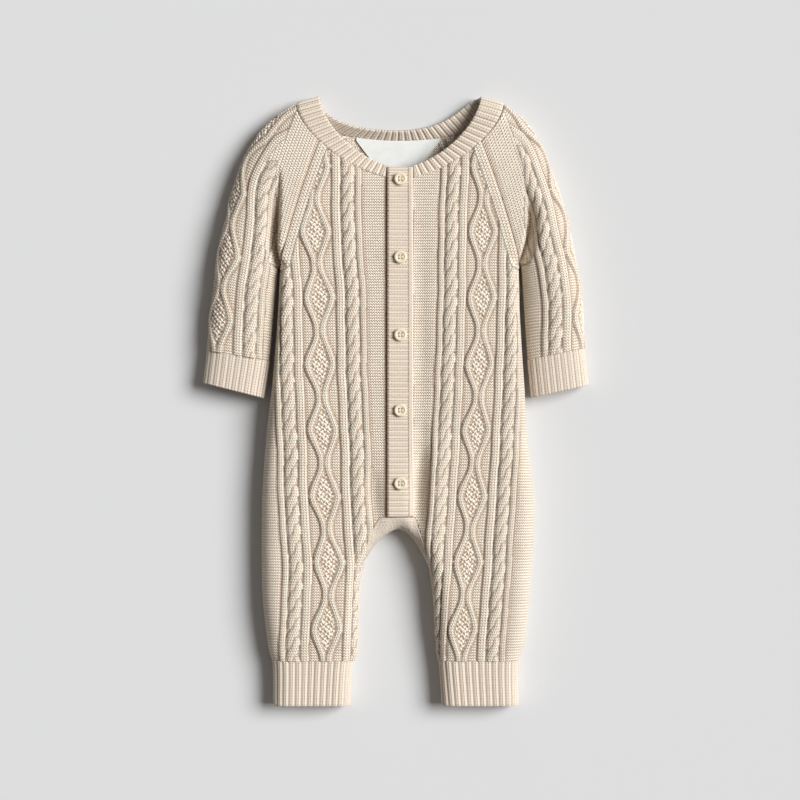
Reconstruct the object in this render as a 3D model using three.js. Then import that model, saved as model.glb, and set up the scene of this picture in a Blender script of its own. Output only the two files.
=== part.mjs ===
// A baby's cable-knit romper, laid on its back and lightly filled out, so each tube keeps a soft hollow.
// Millimetres. +Z is up from the surface, +Y runs from the leg hems to the neck, and X is across.
// The origin lies on the surface, under the middle of the garment's box.
import * as THREE from "three";

// Cloth and seams
const WALL = 2.2; // plain knit, before cables and ribs are raised on it
const SEAM_GAP = 0.3; // between pieces that are linked together
const HALF_GAP = SEAM_GAP / 2;
const LABEL_WALL = 1.0;

// How finely the source samples its curves and grids
const COURSE_SAMPLES = 44; // along each stretch of a course
const PLAN_STEPS = 8; // between points of a plan curve
const NECK_ROWS = 7; // panel rows that step up the neck seam
const GUSSET_TOP_STEPS = 8;
const RIB_ROWS = 3;
const NECK_COLUMNS = 2;
const WELD = 1e4; // points closer than 1 / WELD mm are one

// Where the garment lies
const CENTRE_FRONT_X = 3.2; // the button band's line, right of the box's middle
const FOLD_LEVEL = 11; // height of the side folds, where front meets back
const FLOOR_RADIUS = 9; // how far in from a fold the back reaches the surface

// How far in from each fold the front has risen to its full height
const SIDE_RADIUS = 14;
const INSEAM_RADIUS = 15;
const UNDERARM_RADIUS = 14;
const SLEEVE_RADIUS = 20;
const SLEEVE_DROP = 4.5; // how much flatter the sleeve is at its cuff
const SLEEVE_SPLIT = 2; // the underarm's place in the sleeve table, counted from the cuff
const BACK_RIM_RISE = 8; // how far the neckband's free edge stands up at the back

// Lengthwise landmarks
const HEM_END = -254.5;
const HEM_TOP = -217;
const GUSSET_TOP = -95.4;
const NECK_TOP = 248; // the neck seam at the shoulder folds
const RIM_TOP = 253.3; // the neckband's free edge at the shoulder folds

// Knit repeats
const DIAMOND_REPEAT = 55;
const ROPE_PITCH = DIAMOND_REPEAT / 3.5;
const ROW_STEP = ROPE_PITCH / 2;
const HEM_RIB = 5.5;
const NECK_RIB = 4.8;
const BAND_RIB = 4.4;
const CABLE_RELIEF = 2.2;
const DIAMOND_RELIEF = 1.8;
const MOSS_RELIEF = 0.6;
const COLUMN_RELIEF = 1.3;
const RIB_RELIEF = 1.5;

// Across each cable pattern, from the diamond's middle
const DIAMOND_NARROW = 2.6;
const DIAMOND_WIDEN = 8.9;
const STRAND_HALF = 2.4;
const ROPE_MIDDLE = 28;
const ROPE_HALF = 6.2;
const COLUMNS = [
  { middle: 18.65, half: 3.15 },
  { middle: 37.3, half: 3.1 },
];

// Gusset and label
const GUSSET_START = 3.4; // how far above the seam's end the gusset's point begins
const LABEL = { across: 36.4, drop: 30, power: 1.4, top: 0, x: -1.6 };

// Button band
const BAND_LEFT = -10.8;
const BAND_RIGHT = 10.8;
const BAND_JOIN = 6.8; // where the ribs stop at the linked column
const BAND_LIFT_LEFT = 2.7; // the lapped band's face above the fronts
const BAND_LIFT_RIGHT = 1.2;
const BAND_WALL = 2.4;
const BAND_RELIEF = 0.8;
const BAND_TOP = 196.1;

// Buttons
const BUTTON_X = 0.4;
const BUTTON_HEIGHTS = [184.2, 119.1, 54.5, -8.1, -68.7];
const BUTTON_RADIUS = 5.2;
const BUTTON_THICK = 2.3;
const BUTTON_SIDES = 20;
const HOLE_RADIUS = 0.75;
const HOLE_OFFSET = 1.35;
const HOLE_SIDES = 6;

// The neck openings are superellipses, each half as wide as `across` and as deep as `drop`.
const NECK = {
  rimFront: { across: 67, drop: 57.2, power: 1.5, top: RIM_TOP },
  rimBack: { across: 67, drop: 28.3, power: 1.5, top: RIM_TOP },
  seamFront: { across: 86.5, drop: 64, power: 1.6, top: NECK_TOP },
  seamBack: { across: 86.5, drop: 30.8, power: 2, top: NECK_TOP },
};
const RAGLAN_FRONT_X = 67.5; // distance from centre front to the raglan on the neck seam
const RAGLAN_BACK_X = 65;
const RAGLAN_FRONT_BEND = [87, 166]; // the plan point that each raglan bows towards
const RAGLAN_BACK_BEND = [86, 172];

// Smooth curve of x over y, or of any value over a rising key, through a short table of rows.
function tableCurve(rows, key, value) {
  const slope = rows.map((row, i) => {
    const a = rows[Math.max(i - 1, 0)];
    const b = rows[Math.min(i + 1, rows.length - 1)];
    return (b[value] - a[value]) / (b[key] - a[key]);
  });
  return (at) => {
    if (at <= rows[0][key]) return rows[0][value];
    if (at >= rows[rows.length - 1][key]) return rows[rows.length - 1][value];
    let i = 0;
    while (rows[i + 1][key] < at) i += 1;
    const span = rows[i + 1][key] - rows[i][key];
    const t = (at - rows[i][key]) / span;
    const t2 = t * t;
    const t3 = t2 * t;
    return (
      (2 * t3 - 3 * t2 + 1) * rows[i][value] +
      (t3 - 2 * t2 + t) * span * slope[i] +
      (3 * t2 - 2 * t3) * rows[i + 1][value] +
      (t3 - t2) * span * slope[i + 1]
    );
  };
}

const clamp = (value, low, high) => Math.min(Math.max(value, low), high);
const mix = (a, b, t) => a + (b - a) * t;
const ease = (low, high, value) => {
  const t = clamp((value - low) / (high - low), 0, 1);
  return t * t * (3 - 2 * t);
};

// Outline of the wearer's right half, on the viewer's left, and of the other half.
const HALVES = {
  left: {
    sign: -1,
    underarm: [-100.4, 112.5],
    side: [
      { y: -254.5, x: -106.4 },
      { y: -218.8, x: -107.2 },
      { y: -212.9, x: -110 },
      { y: -197.9, x: -112.5 },
      { y: -172, x: -115.5 },
      { y: -146, x: -116.7 },
      { y: -95, x: -116.7 },
      { y: -67, x: -115.8 },
      { y: -20, x: -112 },
      { y: 15, x: -108 },
      { y: 50, x: -105 },
      { y: 84, x: -102.5 },
      { y: 112.5, x: -100.4 },
    ],
    inseam: [
      { y: -254.5, x: -40.8 },
      { y: -218.8, x: -38.9 },
      { y: -210.4, x: -35.8 },
      { y: -172, x: -34.4 },
      { y: -147, x: -32.5 },
      { y: -135.5, x: -29.2 },
    ],
    crotch: [
      [-22.2, -124.6],
      [-17, -118],
      [-10.5, -112.5],
    ],
    gusset: [
      { y: -135.5, x: -29.2 },
      { y: -128, x: -29 },
      { y: -119.6, x: -27.6 },
      { y: -106.7, x: -22.7 },
      { y: -97, x: -17.6 },
    ],
    diamond: [
      { y: -217, x: -61.3 },
      { y: -189.6, x: -60.8 },
      { y: -133.8, x: -59.3 },
      { y: -80.4, x: -62.1 },
      { y: -25.4, x: -64.2 },
      { y: 28.8, x: -65.8 },
      { y: 84.6, x: -67.5 },
      { y: 134.6, x: -70 },
      { y: 215, x: -72 },
    ],
    valley: [
      [-100.4, 112.5],
      [-101.5, 140],
      [-102, 170],
      [-100.5, 200],
    ],
    cuff: {
      innerTop: [-107.6, 32.9],
      outerTop: [-162.3, 41.8],
      innerEnd: [-112.6, 1.6],
      outerEnd: [-165.5, 14.9],
    },
    sleeve: [
      { outer: [-158.6, 84], inner: [-103.9, 76] },
      { outer: [-152.4, 128], inner: [-100.4, 112.5] },
      { outer: [-146, 156] },
      { outer: [-134.5, 194] },
      { outer: [-114.5, 228.5] },
      { outer: [-87.2, 247.6] },
    ],
    sleeveTwist: 7,
  },
  right: {
    sign: 1,
    underarm: [99.8, 114],
    side: [
      { y: -254.5, x: 99.4 },
      { y: -217, x: 100 },
      { y: -204, x: 105 },
      { y: -184.6, x: 107.4 },
      { y: -147, x: 110.4 },
      { y: -95, x: 113.5 },
      { y: -74, x: 112.5 },
      { y: -49, x: 109.3 },
      { y: -20, x: 106.8 },
      { y: 10, x: 105.4 },
      { y: 40, x: 103.3 },
      { y: 81, x: 101 },
      { y: 114, x: 99.8 },
    ],
    inseam: [
      { y: -254.5, x: 34.2 },
      { y: -218.8, x: 31.7 },
      { y: -210.4, x: 31.1 },
      { y: -191, x: 29.2 },
      { y: -159.6, x: 26.7 },
      { y: -147, x: 24.4 },
      { y: -141, x: 22.9 },
    ],
    crotch: [
      [20.3, -133.8],
      [14.5, -122.9],
      [8.1, -114],
    ],
    gusset: [
      { y: -141, x: 22.9 },
      { y: -130, x: 22 },
      { y: -118.3, x: 19.2 },
      { y: -107.9, x: 15.8 },
      { y: -97, x: 12.6 },
    ],
    diamond: [
      { y: -217, x: 51.3 },
      { y: -191, x: 52.2 },
      { y: -138.8, x: 55.8 },
      { y: -84.6, x: 60 },
      { y: -33.8, x: 62.5 },
      { y: 25.4, x: 66.3 },
      { y: 86, x: 67.5 },
      { y: 138.8, x: 69 },
      { y: 215, x: 71 },
    ],
    valley: [
      [99.8, 114],
      [106, 135],
      [108.5, 155],
      [104, 182],
    ],
    cuff: {
      innerTop: [105.4, 33.8],
      outerTop: [155, 44],
      innerEnd: [108.4, 2],
      outerEnd: [158.6, 13],
    },
    sleeve: [
      { outer: [152.6, 84], inner: [102.4, 78] },
      { outer: [145.8, 126], inner: [99.8, 114] },
      { outer: [139.2, 163] },
      { outer: [128.3, 194.5] },
      { outer: [110.5, 229] },
      { outer: [87.2, 247.6] },
    ],
    sleeveTwist: -3,
  },
};
const CROTCH_TOP = [-0.8, -108.6];

// Point of a superellipse at x, on the viewer's left or right by x's sign.
function neckHeight(neck, x, grow = 0) {
  const share = clamp(Math.abs(x) / (neck.across + grow), 0, 1);
  return neck.top - (neck.drop + grow) * (1 - share ** neck.power) ** (1 / neck.power);
}

// Half width of a superellipse at height y.
function neckHalfWidth(neck, y, grow = 0) {
  const share = clamp((neck.top - y) / (neck.drop + grow), 0, 1);
  return (neck.across + grow) * (1 - share ** neck.power) ** (1 / neck.power);
}

const bezier = (a, b, c, t) =>
  [0, 1].map((i) => a[i] * (1 - t) ** 2 + 2 * b[i] * t * (1 - t) + c[i] * t * t);

// Catmull-Rom curve in the plan through points, as a list of close points.
function smoothPlan(points, steps = PLAN_STEPS) {
  const vectors = points.map(([x, y]) => new THREE.Vector3(x, y, 0));
  const curve = new THREE.CatmullRomCurve3(vectors, false, "centripetal");
  return curve.getPoints((points.length - 1) * steps).map((p) => [p.x, p.y]);
}

// A raglan seam from the neck to the underarm: t is 0 at the neck and 1 at the underarm.
function raglan(half, face, t) {
  const start = face === "front" ? RAGLAN_FRONT_X : RAGLAN_BACK_X;
  const neck = face === "front" ? NECK.seamFront : NECK.seamBack;
  const a = [half.sign * start, neckHeight(neck, start)];
  const [bendX, bendY] = face === "front" ? RAGLAN_FRONT_BEND : RAGLAN_BACK_BEND;
  const bend = [half.sign * bendX, bendY];
  return bezier(a, bend, half.underarm, t);
}

// The raglan's x at height y, found by halving.
function raglanX(half, face, y) {
  let low = 0;
  let high = 1;
  for (let i = 0; i < 40; i += 1) {
    const middle = (low + high) / 2;
    if (raglan(half, face, middle)[1] > y) low = middle;
    else high = middle;
  }
  return raglan(half, face, (low + high) / 2)[0];
}

// Height of the filled-out front over its tubes, before the folds pull it down.
const crownAlong = tableCurve(
  [
    { y: -255, z: 20 },
    { y: -219, z: 22 },
    { y: -190, z: 24.5 },
    { y: -110, z: 25.5 },
    { y: -40, z: 26.5 },
    { y: 70, z: 26.5 },
    { y: 150, z: 24.5 },
    { y: 212, z: 21.5 },
    { y: 256, z: 18.5 },
  ],
  "y",
  "z",
);
const NECK_DIP = { y: 222, depth: 5, reach: 42 };

// The largest soft folds in the front: a trough from one place to another.
const TROUGHS = [
  { from: [-22, -97], to: [-24, -58], depth: 1.4, reach: 7 },
  { from: [19, -112], to: [23, -55], depth: 2.2, reach: 6 },
  { from: [-90, -20], to: [-104, -75], depth: 1.4, reach: 11 },
  { from: [88, 10], to: [102, -50], depth: 1.2, reach: 11 },
];

function toSegment(a, b, x, y) {
  const dx = b[0] - a[0];
  const dy = b[1] - a[1];
  const t = clamp(((x - a[0]) * dx + (y - a[1]) * dy) / (dx * dx + dy * dy), 0, 1);
  return { t, x: a[0] + dx * t, y: a[1] + dy * t, dx, dy };
}

function crown(x, y, drop) {
  const neck = Math.hypot(x, y - NECK_DIP.y) / NECK_DIP.reach;
  let z = crownAlong(y) - NECK_DIP.depth * Math.exp(-neck * neck) - drop;
  for (const trough of TROUGHS) {
    const near = toSegment(trough.from, trough.to, x, y);
    const away = Math.hypot(x - near.x, y - near.y) / trough.reach;
    z -= trough.depth * Math.exp(-away * away) * Math.sin(Math.PI * clamp(near.t, 0.08, 0.92));
  }
  return z;
}

// A fold of the garment in the plan. inside is 1 where the cloth lies left of the fold's direction,
// -1 where it lies right, and 0 for a soft valley with cloth on both sides. levels are its heights
// at both ends.
function fold(points, radius, inside, levels = [FOLD_LEVEL, FOLD_LEVEL]) {
  return { points, radius, inside, levels };
}

function nearestOn(edge, x, y) {
  let best = null;
  const last = edge.points.length - 1;
  for (let i = 0; i < last; i += 1) {
    const near = toSegment(edge.points[i], edge.points[i + 1], x, y);
    const distance = Math.hypot(x - near.x, y - near.y);
    const atEnd = (i === 0 && near.t === 0) || (i === last - 1 && near.t === 1);
    if (!best || distance < best.distance - 1e-9) {
      best = { ...near, distance, atEnd, along: (i + near.t) / last };
    }
  }
  const length = Math.hypot(best.dx, best.dy);
  const insideX = (-best.dy / length) * edge.inside;
  const insideY = (best.dx / length) * edge.inside;
  const inward = (x - best.x) * insideX + (y - best.y) * insideY;
  const nearEdge = edge.inside !== 0 && (best.distance < 0.3 || (inward < 0 && !best.atEnd));
  if (nearEdge) return { distance: Math.max(inward, 0), along: best.along, gx: insideX, gy: insideY };
  const away = Math.max(best.distance, 1e-6);
  return { distance: best.distance, along: best.along, gx: (x - best.x) / away, gy: (y - best.y) / away };
}

// Outer face of the cloth at a place in the plan, with its outward normal.
function frontFace(place, x, y) {
  const step = 0.5;
  const top = crown(x, y, place.drop(y));
  const slopeX = (crown(x + step, y, place.drop(y)) - top) / step;
  const slopeY = (crown(x, y + step, place.drop(y + step)) - top) / step;
  let found = { z: top, normal: new THREE.Vector3(-slopeX, -slopeY, 1) };
  for (const edge of place.folds) {
    const near = nearestOn(edge, x, y);
    if (near.distance >= edge.radius) continue;
    const rise = top - mix(edge.levels[0], edge.levels[1], near.along);
    const share = near.distance / edge.radius;
    const soft = edge.inside === 0;
    const up = soft ? share * (2 - share) : Math.sqrt(share * (2 - share));
    const z = top - rise * (1 - up);
    if (z >= found.z) continue;
    const lean = soft ? ((2 - 2 * share) * rise) / edge.radius : (1 - share) * rise;
    const flat = soft ? 1 : edge.radius * up;
    const normal = new THREE.Vector3(
      -lean * near.gx - flat * up * slopeX,
      -lean * near.gy - flat * up * slopeY,
      flat,
    );
    found = { z, normal };
  }
  return { point: new THREE.Vector3(x, y, found.z), normal: found.normal.normalize() };
}

function backFace(place, x, y) {
  let found = { z: 0, normal: new THREE.Vector3(0, 0, -1) };
  for (const edge of place.folds) {
    const near = nearestOn(edge, x, y);
    if (near.distance >= FLOOR_RADIUS || edge.inside === 0) continue;
    const share = near.distance / FLOOR_RADIUS;
    const down = Math.sqrt(share * (2 - share));
    const z = FOLD_LEVEL * (1 - down);
    if (z <= found.z) continue;
    const lean = FOLD_LEVEL * (1 - share);
    found = { z, normal: new THREE.Vector3(-lean * near.gx, -lean * near.gy, -FLOOR_RADIUS * down) };
  }
  return { point: new THREE.Vector3(x, y, found.z), normal: found.normal.normalize() };
}

const faceAt = (place, face, x, y) => (face === "front" ? frontFace : backFace)(place, x, y);

// One course of knitting: a line over the cloth through plan points, measured along the cloth.
function course(place, stretches, closed = false) {
  const samples = [];
  const ends = [];
  for (const { face, planAt } of stretches) {
    for (let i = samples.length ? 1 : 0; i <= COURSE_SAMPLES; i += 1) {
      const t = (1 - Math.cos((Math.PI * i) / COURSE_SAMPLES)) / 2;
      const [x, y] = planAt(t);
      samples.push({ ...faceAt(place, face, x, y), x });
    }
    ends.push(samples.length - 1);
  }
  if (closed) {
    const first = samples[0];
    const last = samples[samples.length - 1];
    first.point.z = FOLD_LEVEL;
    first.normal.add(last.normal).setZ(0).normalize();
    last.point.copy(first.point);
    last.normal.copy(first.normal);
  }
  const along = [0];
  for (let i = 1; i < samples.length; i += 1) {
    along.push(along[i - 1] + samples[i].point.distanceTo(samples[i - 1].point));
  }
  const total = along[along.length - 1];
  const at = (distance) => {
    const s = clamp(distance, 0, total);
    let i = 0;
    while (i < along.length - 2 && along[i + 1] < s) i += 1;
    const t = (s - along[i]) / Math.max(along[i + 1] - along[i], 1e-9);
    return {
      point: samples[i].point.clone().lerp(samples[i + 1].point, t),
      normal: samples[i].normal.clone().lerp(samples[i + 1].normal, t).normalize(),
    };
  };
  const whereX = (x) => {
    for (let i = 1; i < samples.length; i += 1) {
      const a = samples[i - 1].x;
      const b = samples[i].x;
      if ((a - x) * (b - x) <= 0 && a !== b) return mix(along[i - 1], along[i], (x - a) / (b - a));
    }
    return Math.abs(samples[0].x - x) < Math.abs(samples[samples.length - 1].x - x) ? 0 : total;
  };
  return { total, at, whereX, turn: along[ends[0]] };
}

const straight = (a, b) => (t) => [mix(a[0], b[0], t), mix(a[1], b[1], t)];

// Knitted relief at u across from the diamond's middle and v along from a crossing.
function diamondHalf(v) {
  const wave = 0.5 - 0.5 * Math.cos((2 * Math.PI * v) / DIAMOND_REPEAT);
  return DIAMOND_NARROW + DIAMOND_WIDEN * wave ** 0.75;
}

function cableRelief(u, v) {
  const away = Math.abs(u);
  const half = diamondHalf(v);
  const strand = 1 - Math.abs(away - half) / STRAND_HALF;
  if (strand > 0) return DIAMOND_RELIEF * strand;
  if (away < half) return MOSS_RELIEF;
  const fromRope = (away - ROPE_MIDDLE) / ROPE_HALF;
  if (Math.abs(fromRope) < 1) {
    const twist = 0.8 + 0.2 * Math.cos((2 * Math.PI * v) / ROPE_PITCH + 4.2 * fromRope * Math.sign(u));
    return CABLE_RELIEF * Math.sqrt(1 - fromRope * fromRope) * twist;
  }
  for (const column of COLUMNS) {
    const from = Math.abs(away - column.middle) / column.half;
    if (from < 1) return COLUMN_RELIEF * (1 - from);
  }
  return 0;
}

// Places across a course where the relief changes, from the diamond's middle outwards.
function cableColumns(v) {
  const half = diamondHalf(v);
  return [
    Math.max(half - STRAND_HALF, 0.4),
    half,
    half + STRAND_HALF,
    15.5,
    18.65,
    21.8,
    24.9,
    28,
    31.1,
    34.2,
    37.3,
    40.4,
  ];
}

// A closed shell from a grid of outer and inner points. The inner face may use fewer rows and columns.
function shellTriangles(grid, { keepRow, keepColumn, wrapped = false, flip = false, joined = {} }) {
  const rows = grid.length;
  const columns = grid[0].length;
  const triangles = [];
  const put = (a, b, c) => triangles.push(flip ? [a, c, b] : [a, b, c]);
  const outer = (j, k) => grid[j][k % columns].outer;
  const inner = (j, k) => grid[j][k % columns].inner;
  const lastColumn = wrapped ? columns : columns - 1;
  const kept = (count, keep) =>
    [...Array(count + 1).keys()].filter((i) => i === 0 || i === count || keep(i));
  const innerRows = kept(rows - 1, keepRow);
  const innerColumns = kept(lastColumn, keepColumn);
  for (let j = 0; j < rows - 1; j += 1) {
    for (let k = 0; k < lastColumn; k += 1) {
      put(outer(j, k), outer(j, k + 1), outer(j + 1, k + 1));
      put(outer(j, k), outer(j + 1, k + 1), outer(j + 1, k));
    }
  }
  for (let m = 0; m < innerRows.length - 1; m += 1) {
    const [j0, j1] = [innerRows[m], innerRows[m + 1]];
    for (let n = 0; n < innerColumns.length - 1; n += 1) {
      const [k0, k1] = [innerColumns[n], innerColumns[n + 1]];
      put(inner(j0, k0), inner(j1, k1), inner(j0, k1));
      put(inner(j0, k0), inner(j1, k0), inner(j1, k1));
    }
  }
  // A wall between the outer and inner edge lines, which share their kept points.
  const wall = (outerAt, innerAt, stops, turned, skip = () => false) => {
    const put3 = (a, b, c) => (turned ? put(b, a, c) : put(a, b, c));
    for (let m = 0; m < stops.length - 1; m += 1) {
      if (skip(stops[m], stops[m + 1])) continue;
      for (let i = stops[m]; i < stops[m + 1]; i += 1) {
        put3(outerAt(i), outerAt(i + 1), innerAt(stops[m]));
      }
      put3(innerAt(stops[m]), outerAt(stops[m + 1]), innerAt(stops[m + 1]));
    }
  };
  if (!wrapped) {
    wall((j) => outer(j, 0), (j) => inner(j, 0), innerRows, false, joined.first);
    wall((j) => outer(j, lastColumn), (j) => inner(j, lastColumn), innerRows, true, joined.last);
  }
  wall((k) => outer(0, k), (k) => inner(0, k), innerColumns, true);
  wall((k) => outer(rows - 1, k), (k) => inner(rows - 1, k), innerColumns, false);
  return triangles;
}

// Triangles of points, welded by place, with the collapsed ones left out.
function weldedGeometry(triangles) {
  const index = [];
  const positions = [];
  const known = new Map();
  const numberOf = (p) => {
    const key = `${Math.round(p.x * WELD)},${Math.round(p.y * WELD)},${Math.round(p.z * WELD)}`;
    if (!known.has(key)) {
      known.set(key, positions.length / 3);
      positions.push(p.x, p.y, p.z);
    }
    return known.get(key);
  };
  const volume = triangles.reduce((sum, [a, b, c]) => sum + a.dot(b.clone().cross(c)), 0);
  for (const corners of triangles) {
    const [a, b, c] = corners.map(numberOf);
    if (a !== b && b !== c && a !== c) index.push(a, ...(volume > 0 ? [b, c] : [c, b]));
  }
  const geometry = new THREE.BufferGeometry();
  geometry.setAttribute("position", new THREE.Float32BufferAttribute(positions, 3));
  geometry.setIndex(index);
  geometry.computeVertexNormals();
  return geometry;
}

const CREAM = new THREE.MeshStandardMaterial({ color: 0xe4d7c4, roughness: 0.95, metalness: 0 });
const CREAM_RIB = new THREE.MeshStandardMaterial({ color: 0xe2d4c0, roughness: 0.95, metalness: 0 });
const WHITE_TAPE = new THREE.MeshStandardMaterial({ color: 0xe9eae6, roughness: 0.8, metalness: 0 });
const HORN = new THREE.MeshStandardMaterial({ color: 0xece0c4, roughness: 0.4, metalness: 0 });

const romper = new THREE.Group();
romper.position.x = CENTRE_FRONT_X;
function addPiece(name, geometry, material) {
  const mesh = new THREE.Mesh(geometry, material);
  mesh.name = name;
  romper.add(mesh);
  return mesh;
}

// Relief fades out where the cloth faces down, because the garment rests flat.
const grown = ({ point, normal }, relief, wall = WALL) => ({
  outer: point.clone().addScaledVector(normal, relief * clamp(1 + 1.3 * normal.z, 0, 1)),
  inner: point.clone().addScaledVector(normal, -wall),
});

// What each half of the garment needs again and again.
function planOf(half) {
  const sideX = tableCurve(half.side, "y", "x");
  const inseamX = tableCurve(half.inseam, "y", "x");
  const gussetX = tableCurve(half.gusset, "y", "x");
  const diamondX = tableCurve(half.diamond, "y", "x");
  const steps = 60;
  const side = [...Array(steps + 1).keys()].map((i) => {
    const y = mix(HEM_END - 8, half.underarm[1], i / steps);
    return [sideX(y), y];
  });
  return { ...half, sideX, inseamX, gussetX, diamondX, sideLine: side };
}
const left = planOf(HALVES.left);
const right = planOf(HALVES.right);

const inseamLine = (half) => half.inseam.map(({ y, x }) => [x, y]);
const crotchLine = smoothPlan([
  [left.inseam[0].x, HEM_END - 8],
  ...inseamLine(left),
  ...left.crotch,
  CROTCH_TOP,
  ...[...right.crotch].reverse(),
  ...inseamLine(right).reverse(),
  [right.inseam[0].x, HEM_END - 8],
]);

// A fold's line starts a little beyond the cuff's end.
const pastCuff = (top, end) => [mix(top[0], end[0], 1.3), mix(top[1], end[1], 1.3)];

function sleeveOuterLine(half) {
  const { cuff, sleeve, sign } = half;
  const start = pastCuff(cuff.outerTop, cuff.outerEnd);
  const shoulder = [sign * NECK.rimFront.across, RIM_TOP + 0.4];
  return smoothPlan([start, cuff.outerEnd, cuff.outerTop, ...sleeve.map((s) => s.outer), shoulder]);
}
function sleeveInnerLine(half) {
  const { cuff, sleeve } = half;
  const start = pastCuff(cuff.innerTop, cuff.innerEnd);
  return smoothPlan([start, cuff.innerEnd, cuff.innerTop, sleeve[0].inner, sleeve[1].inner]);
}

// The fold between sleeve and body fades out as it climbs.
const valleyFold = (half) => fold(smoothPlan(half.valley), UNDERARM_RADIUS, 0, [FOLD_LEVEL, 25]);
const bodyPlace = {
  drop: () => 0,
  folds: [
    fold(left.sideLine, SIDE_RADIUS, -1),
    fold(right.sideLine, SIDE_RADIUS, 1),
    fold(crotchLine, INSEAM_RADIUS, 1),
    valleyFold(left),
    valleyFold(right),
  ],
};
function sleevePlace(half) {
  const outside = half.sign < 0 ? -1 : 1;
  return {
    drop: (y) => SLEEVE_DROP * (1 - ease(10, half.underarm[1], y)),
    folds: [
      fold(sleeveOuterLine(half), SLEEVE_RADIUS, outside),
      fold(sleeveInnerLine(half), UNDERARM_RADIUS, -outside),
      valleyFold(half),
    ],
  };
}
const neckPlace = {
  drop: () => 0,
  folds: [sleevePlace(left).folds[0], sleevePlace(right).folds[0]],
};

// Lengthwise rows of a body panel, from hem to neck.
function panelHeights(half, face) {
  const neck = face === "front" ? NECK.seamFront : NECK.seamBack;
  const from = face === "front" ? Math.abs(BAND_LEFT) : 0;
  const to = face === "front" ? RAGLAN_FRONT_X : RAGLAN_BACK_X;
  const steps = [...Array(NECK_ROWS + 1).keys()];
  const neckRows = steps.map((i) => neckHeight(neck, mix(from, to, i / NECK_ROWS), SEAM_GAP));
  const underarms = face === "front" ? [half.underarm[1]] : [left.underarm[1], right.underarm[1]];
  const gussetEnds = [left, right].map((h) => h.gusset[0].y);
  const fixed = [HEM_TOP, ...gussetEnds, -97, GUSSET_TOP, ...underarms, ...neckRows];
  const regular = [];
  for (let n = 1; HEM_TOP + n * ROW_STEP < neckRows[0] - 2; n += 1) {
    const y = HEM_TOP + n * ROW_STEP;
    const needed = face === "front" || n % 3 === 0 || (y > gussetEnds[1] - 9 && y < GUSSET_TOP + 9);
    if (needed && fixed.every((f) => Math.abs(f - y) > 1.5)) regular.push(y);
  }
  return [...fixed, ...regular].sort((a, b) => a - b);
}

function panelInnerX(half, face, y) {
  const { sign } = half;
  const neck = face === "front" ? NECK.seamFront : NECK.seamBack;
  const middle = face === "front" ? sign * BAND_RIGHT : 0;
  if (y <= half.gusset[0].y) return half.inseamX(y);
  if (y < GUSSET_TOP) return half.gussetX(y);
  const bottom = neckHeight(neck, middle, SEAM_GAP);
  if (y <= bottom) return middle;
  return sign * neckHalfWidth(neck, y, SEAM_GAP);
}

function panelOuterX(half, face, y) {
  if (y <= half.underarm[1]) return half.sideX(y);
  return raglanX(half, face, y) - half.sign * HALF_GAP;
}

// Distance from a place to the raglan and neck seams, where cables give way to plain knit.
const raglanLine = (half, face) => [...Array(25).keys()].map((i) => raglan(half, face, i / 24));
function seamFade(line, x, y) {
  const near = nearestOn({ points: line, inside: 0 }, x, y);
  return ease(3, 10, near.distance);
}

// Columns of the plain back, closer where it curves up to its folds.
function backColumns(total) {
  const near = [0, Math.min(5, 0.12 * total), Math.min(13, 0.3 * total)];
  return [...near, total / 2, ...near.map((s) => total - s).reverse()];
}

function bodyPanel(half, face) {
  const heights = panelHeights(half, face);
  const tip = heights[heights.length - 1];
  const line = raglanLine(half, face);
  const grid = heights.map((y) => {
    const outerX = y >= tip - 1e-6 ? panelInnerX(half, face, tip) : panelOuterX(half, face, y);
    const planAt = straight([panelInnerX(half, face, y), y], [outerX, y]);
    const row = course(bodyPlace, [{ face, planAt }]);
    const middle = row.whereX(half.diamondX(y));
    const v = y - HEM_TOP;
    const cables = cableColumns(v);
    const offsets =
      face === "front"
        ? [-60, ...[...cables].reverse().map((c) => -c), ...cables, 52, 80]
        : backColumns(row.total).map((s) => s - middle);
    const atFold = y <= half.underarm[1] ? HALF_GAP : 0;
    const atInseam = y <= half.gusset[0].y ? HALF_GAP : 0;
    return offsets.map((u) => {
      const s = clamp(middle + u, atInseam, Math.max(row.total - atFold, atInseam));
      const place = row.at(s);
      const inside = s > atInseam + 0.5 && s < row.total - atFold - 0.5;
      const raised = face === "front" && inside;
      const relief = raised ? cableRelief(u, v) * seamFade(line, place.point.x, place.point.y) : 0;
      return grown(place, relief);
    });
  });
  return { grid, heights };
}

function addFront(name, half) {
  const { grid } = bodyPanel(half, "front");
  const triangles = shellTriangles(grid, {
    keepRow: (j) => j % 3 === 0 || j > grid.length - NECK_ROWS - 3 || isGussetRow(half, "front", j),
    keepColumn: (k) => [1, 7, 12, 18, 24, 25].includes(k),
    flip: half.sign < 0,
  });
  addPiece(name, weldedGeometry(triangles), CREAM);
}
function isGussetRow(half, face, j) {
  const y = panelHeights(half, face)[j];
  return y > half.gusset[0].y - 5 && y < GUSSET_TOP + 8;
}

function addBack() {
  const triangles = [];
  for (const half of [left, right]) {
    const { grid, heights } = bodyPanel(half, "back");
    const onMiddle = (j) => Math.abs(panelInnerX(half, "back", heights[j])) < 1e-9;
    const isNeckRow = (j) => j > grid.length - NECK_ROWS - 3 || onMiddle(j) !== onMiddle(j - 1);
    const isKept = (j) => j % 3 === 0 || isNeckRow(j) || isGussetRow(half, "back", j);
    const rule = { keepRow: isKept, keepColumn: (k) => k !== 3, flip: half.sign > 0 };
    const joined = { first: (j0, j1) => onMiddle(j0) && onMiddle(j1) };
    triangles.push(...shellTriangles(grid, { ...rule, joined }));
  }
  addPiece("back", weldedGeometry(triangles), CREAM);
}

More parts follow.
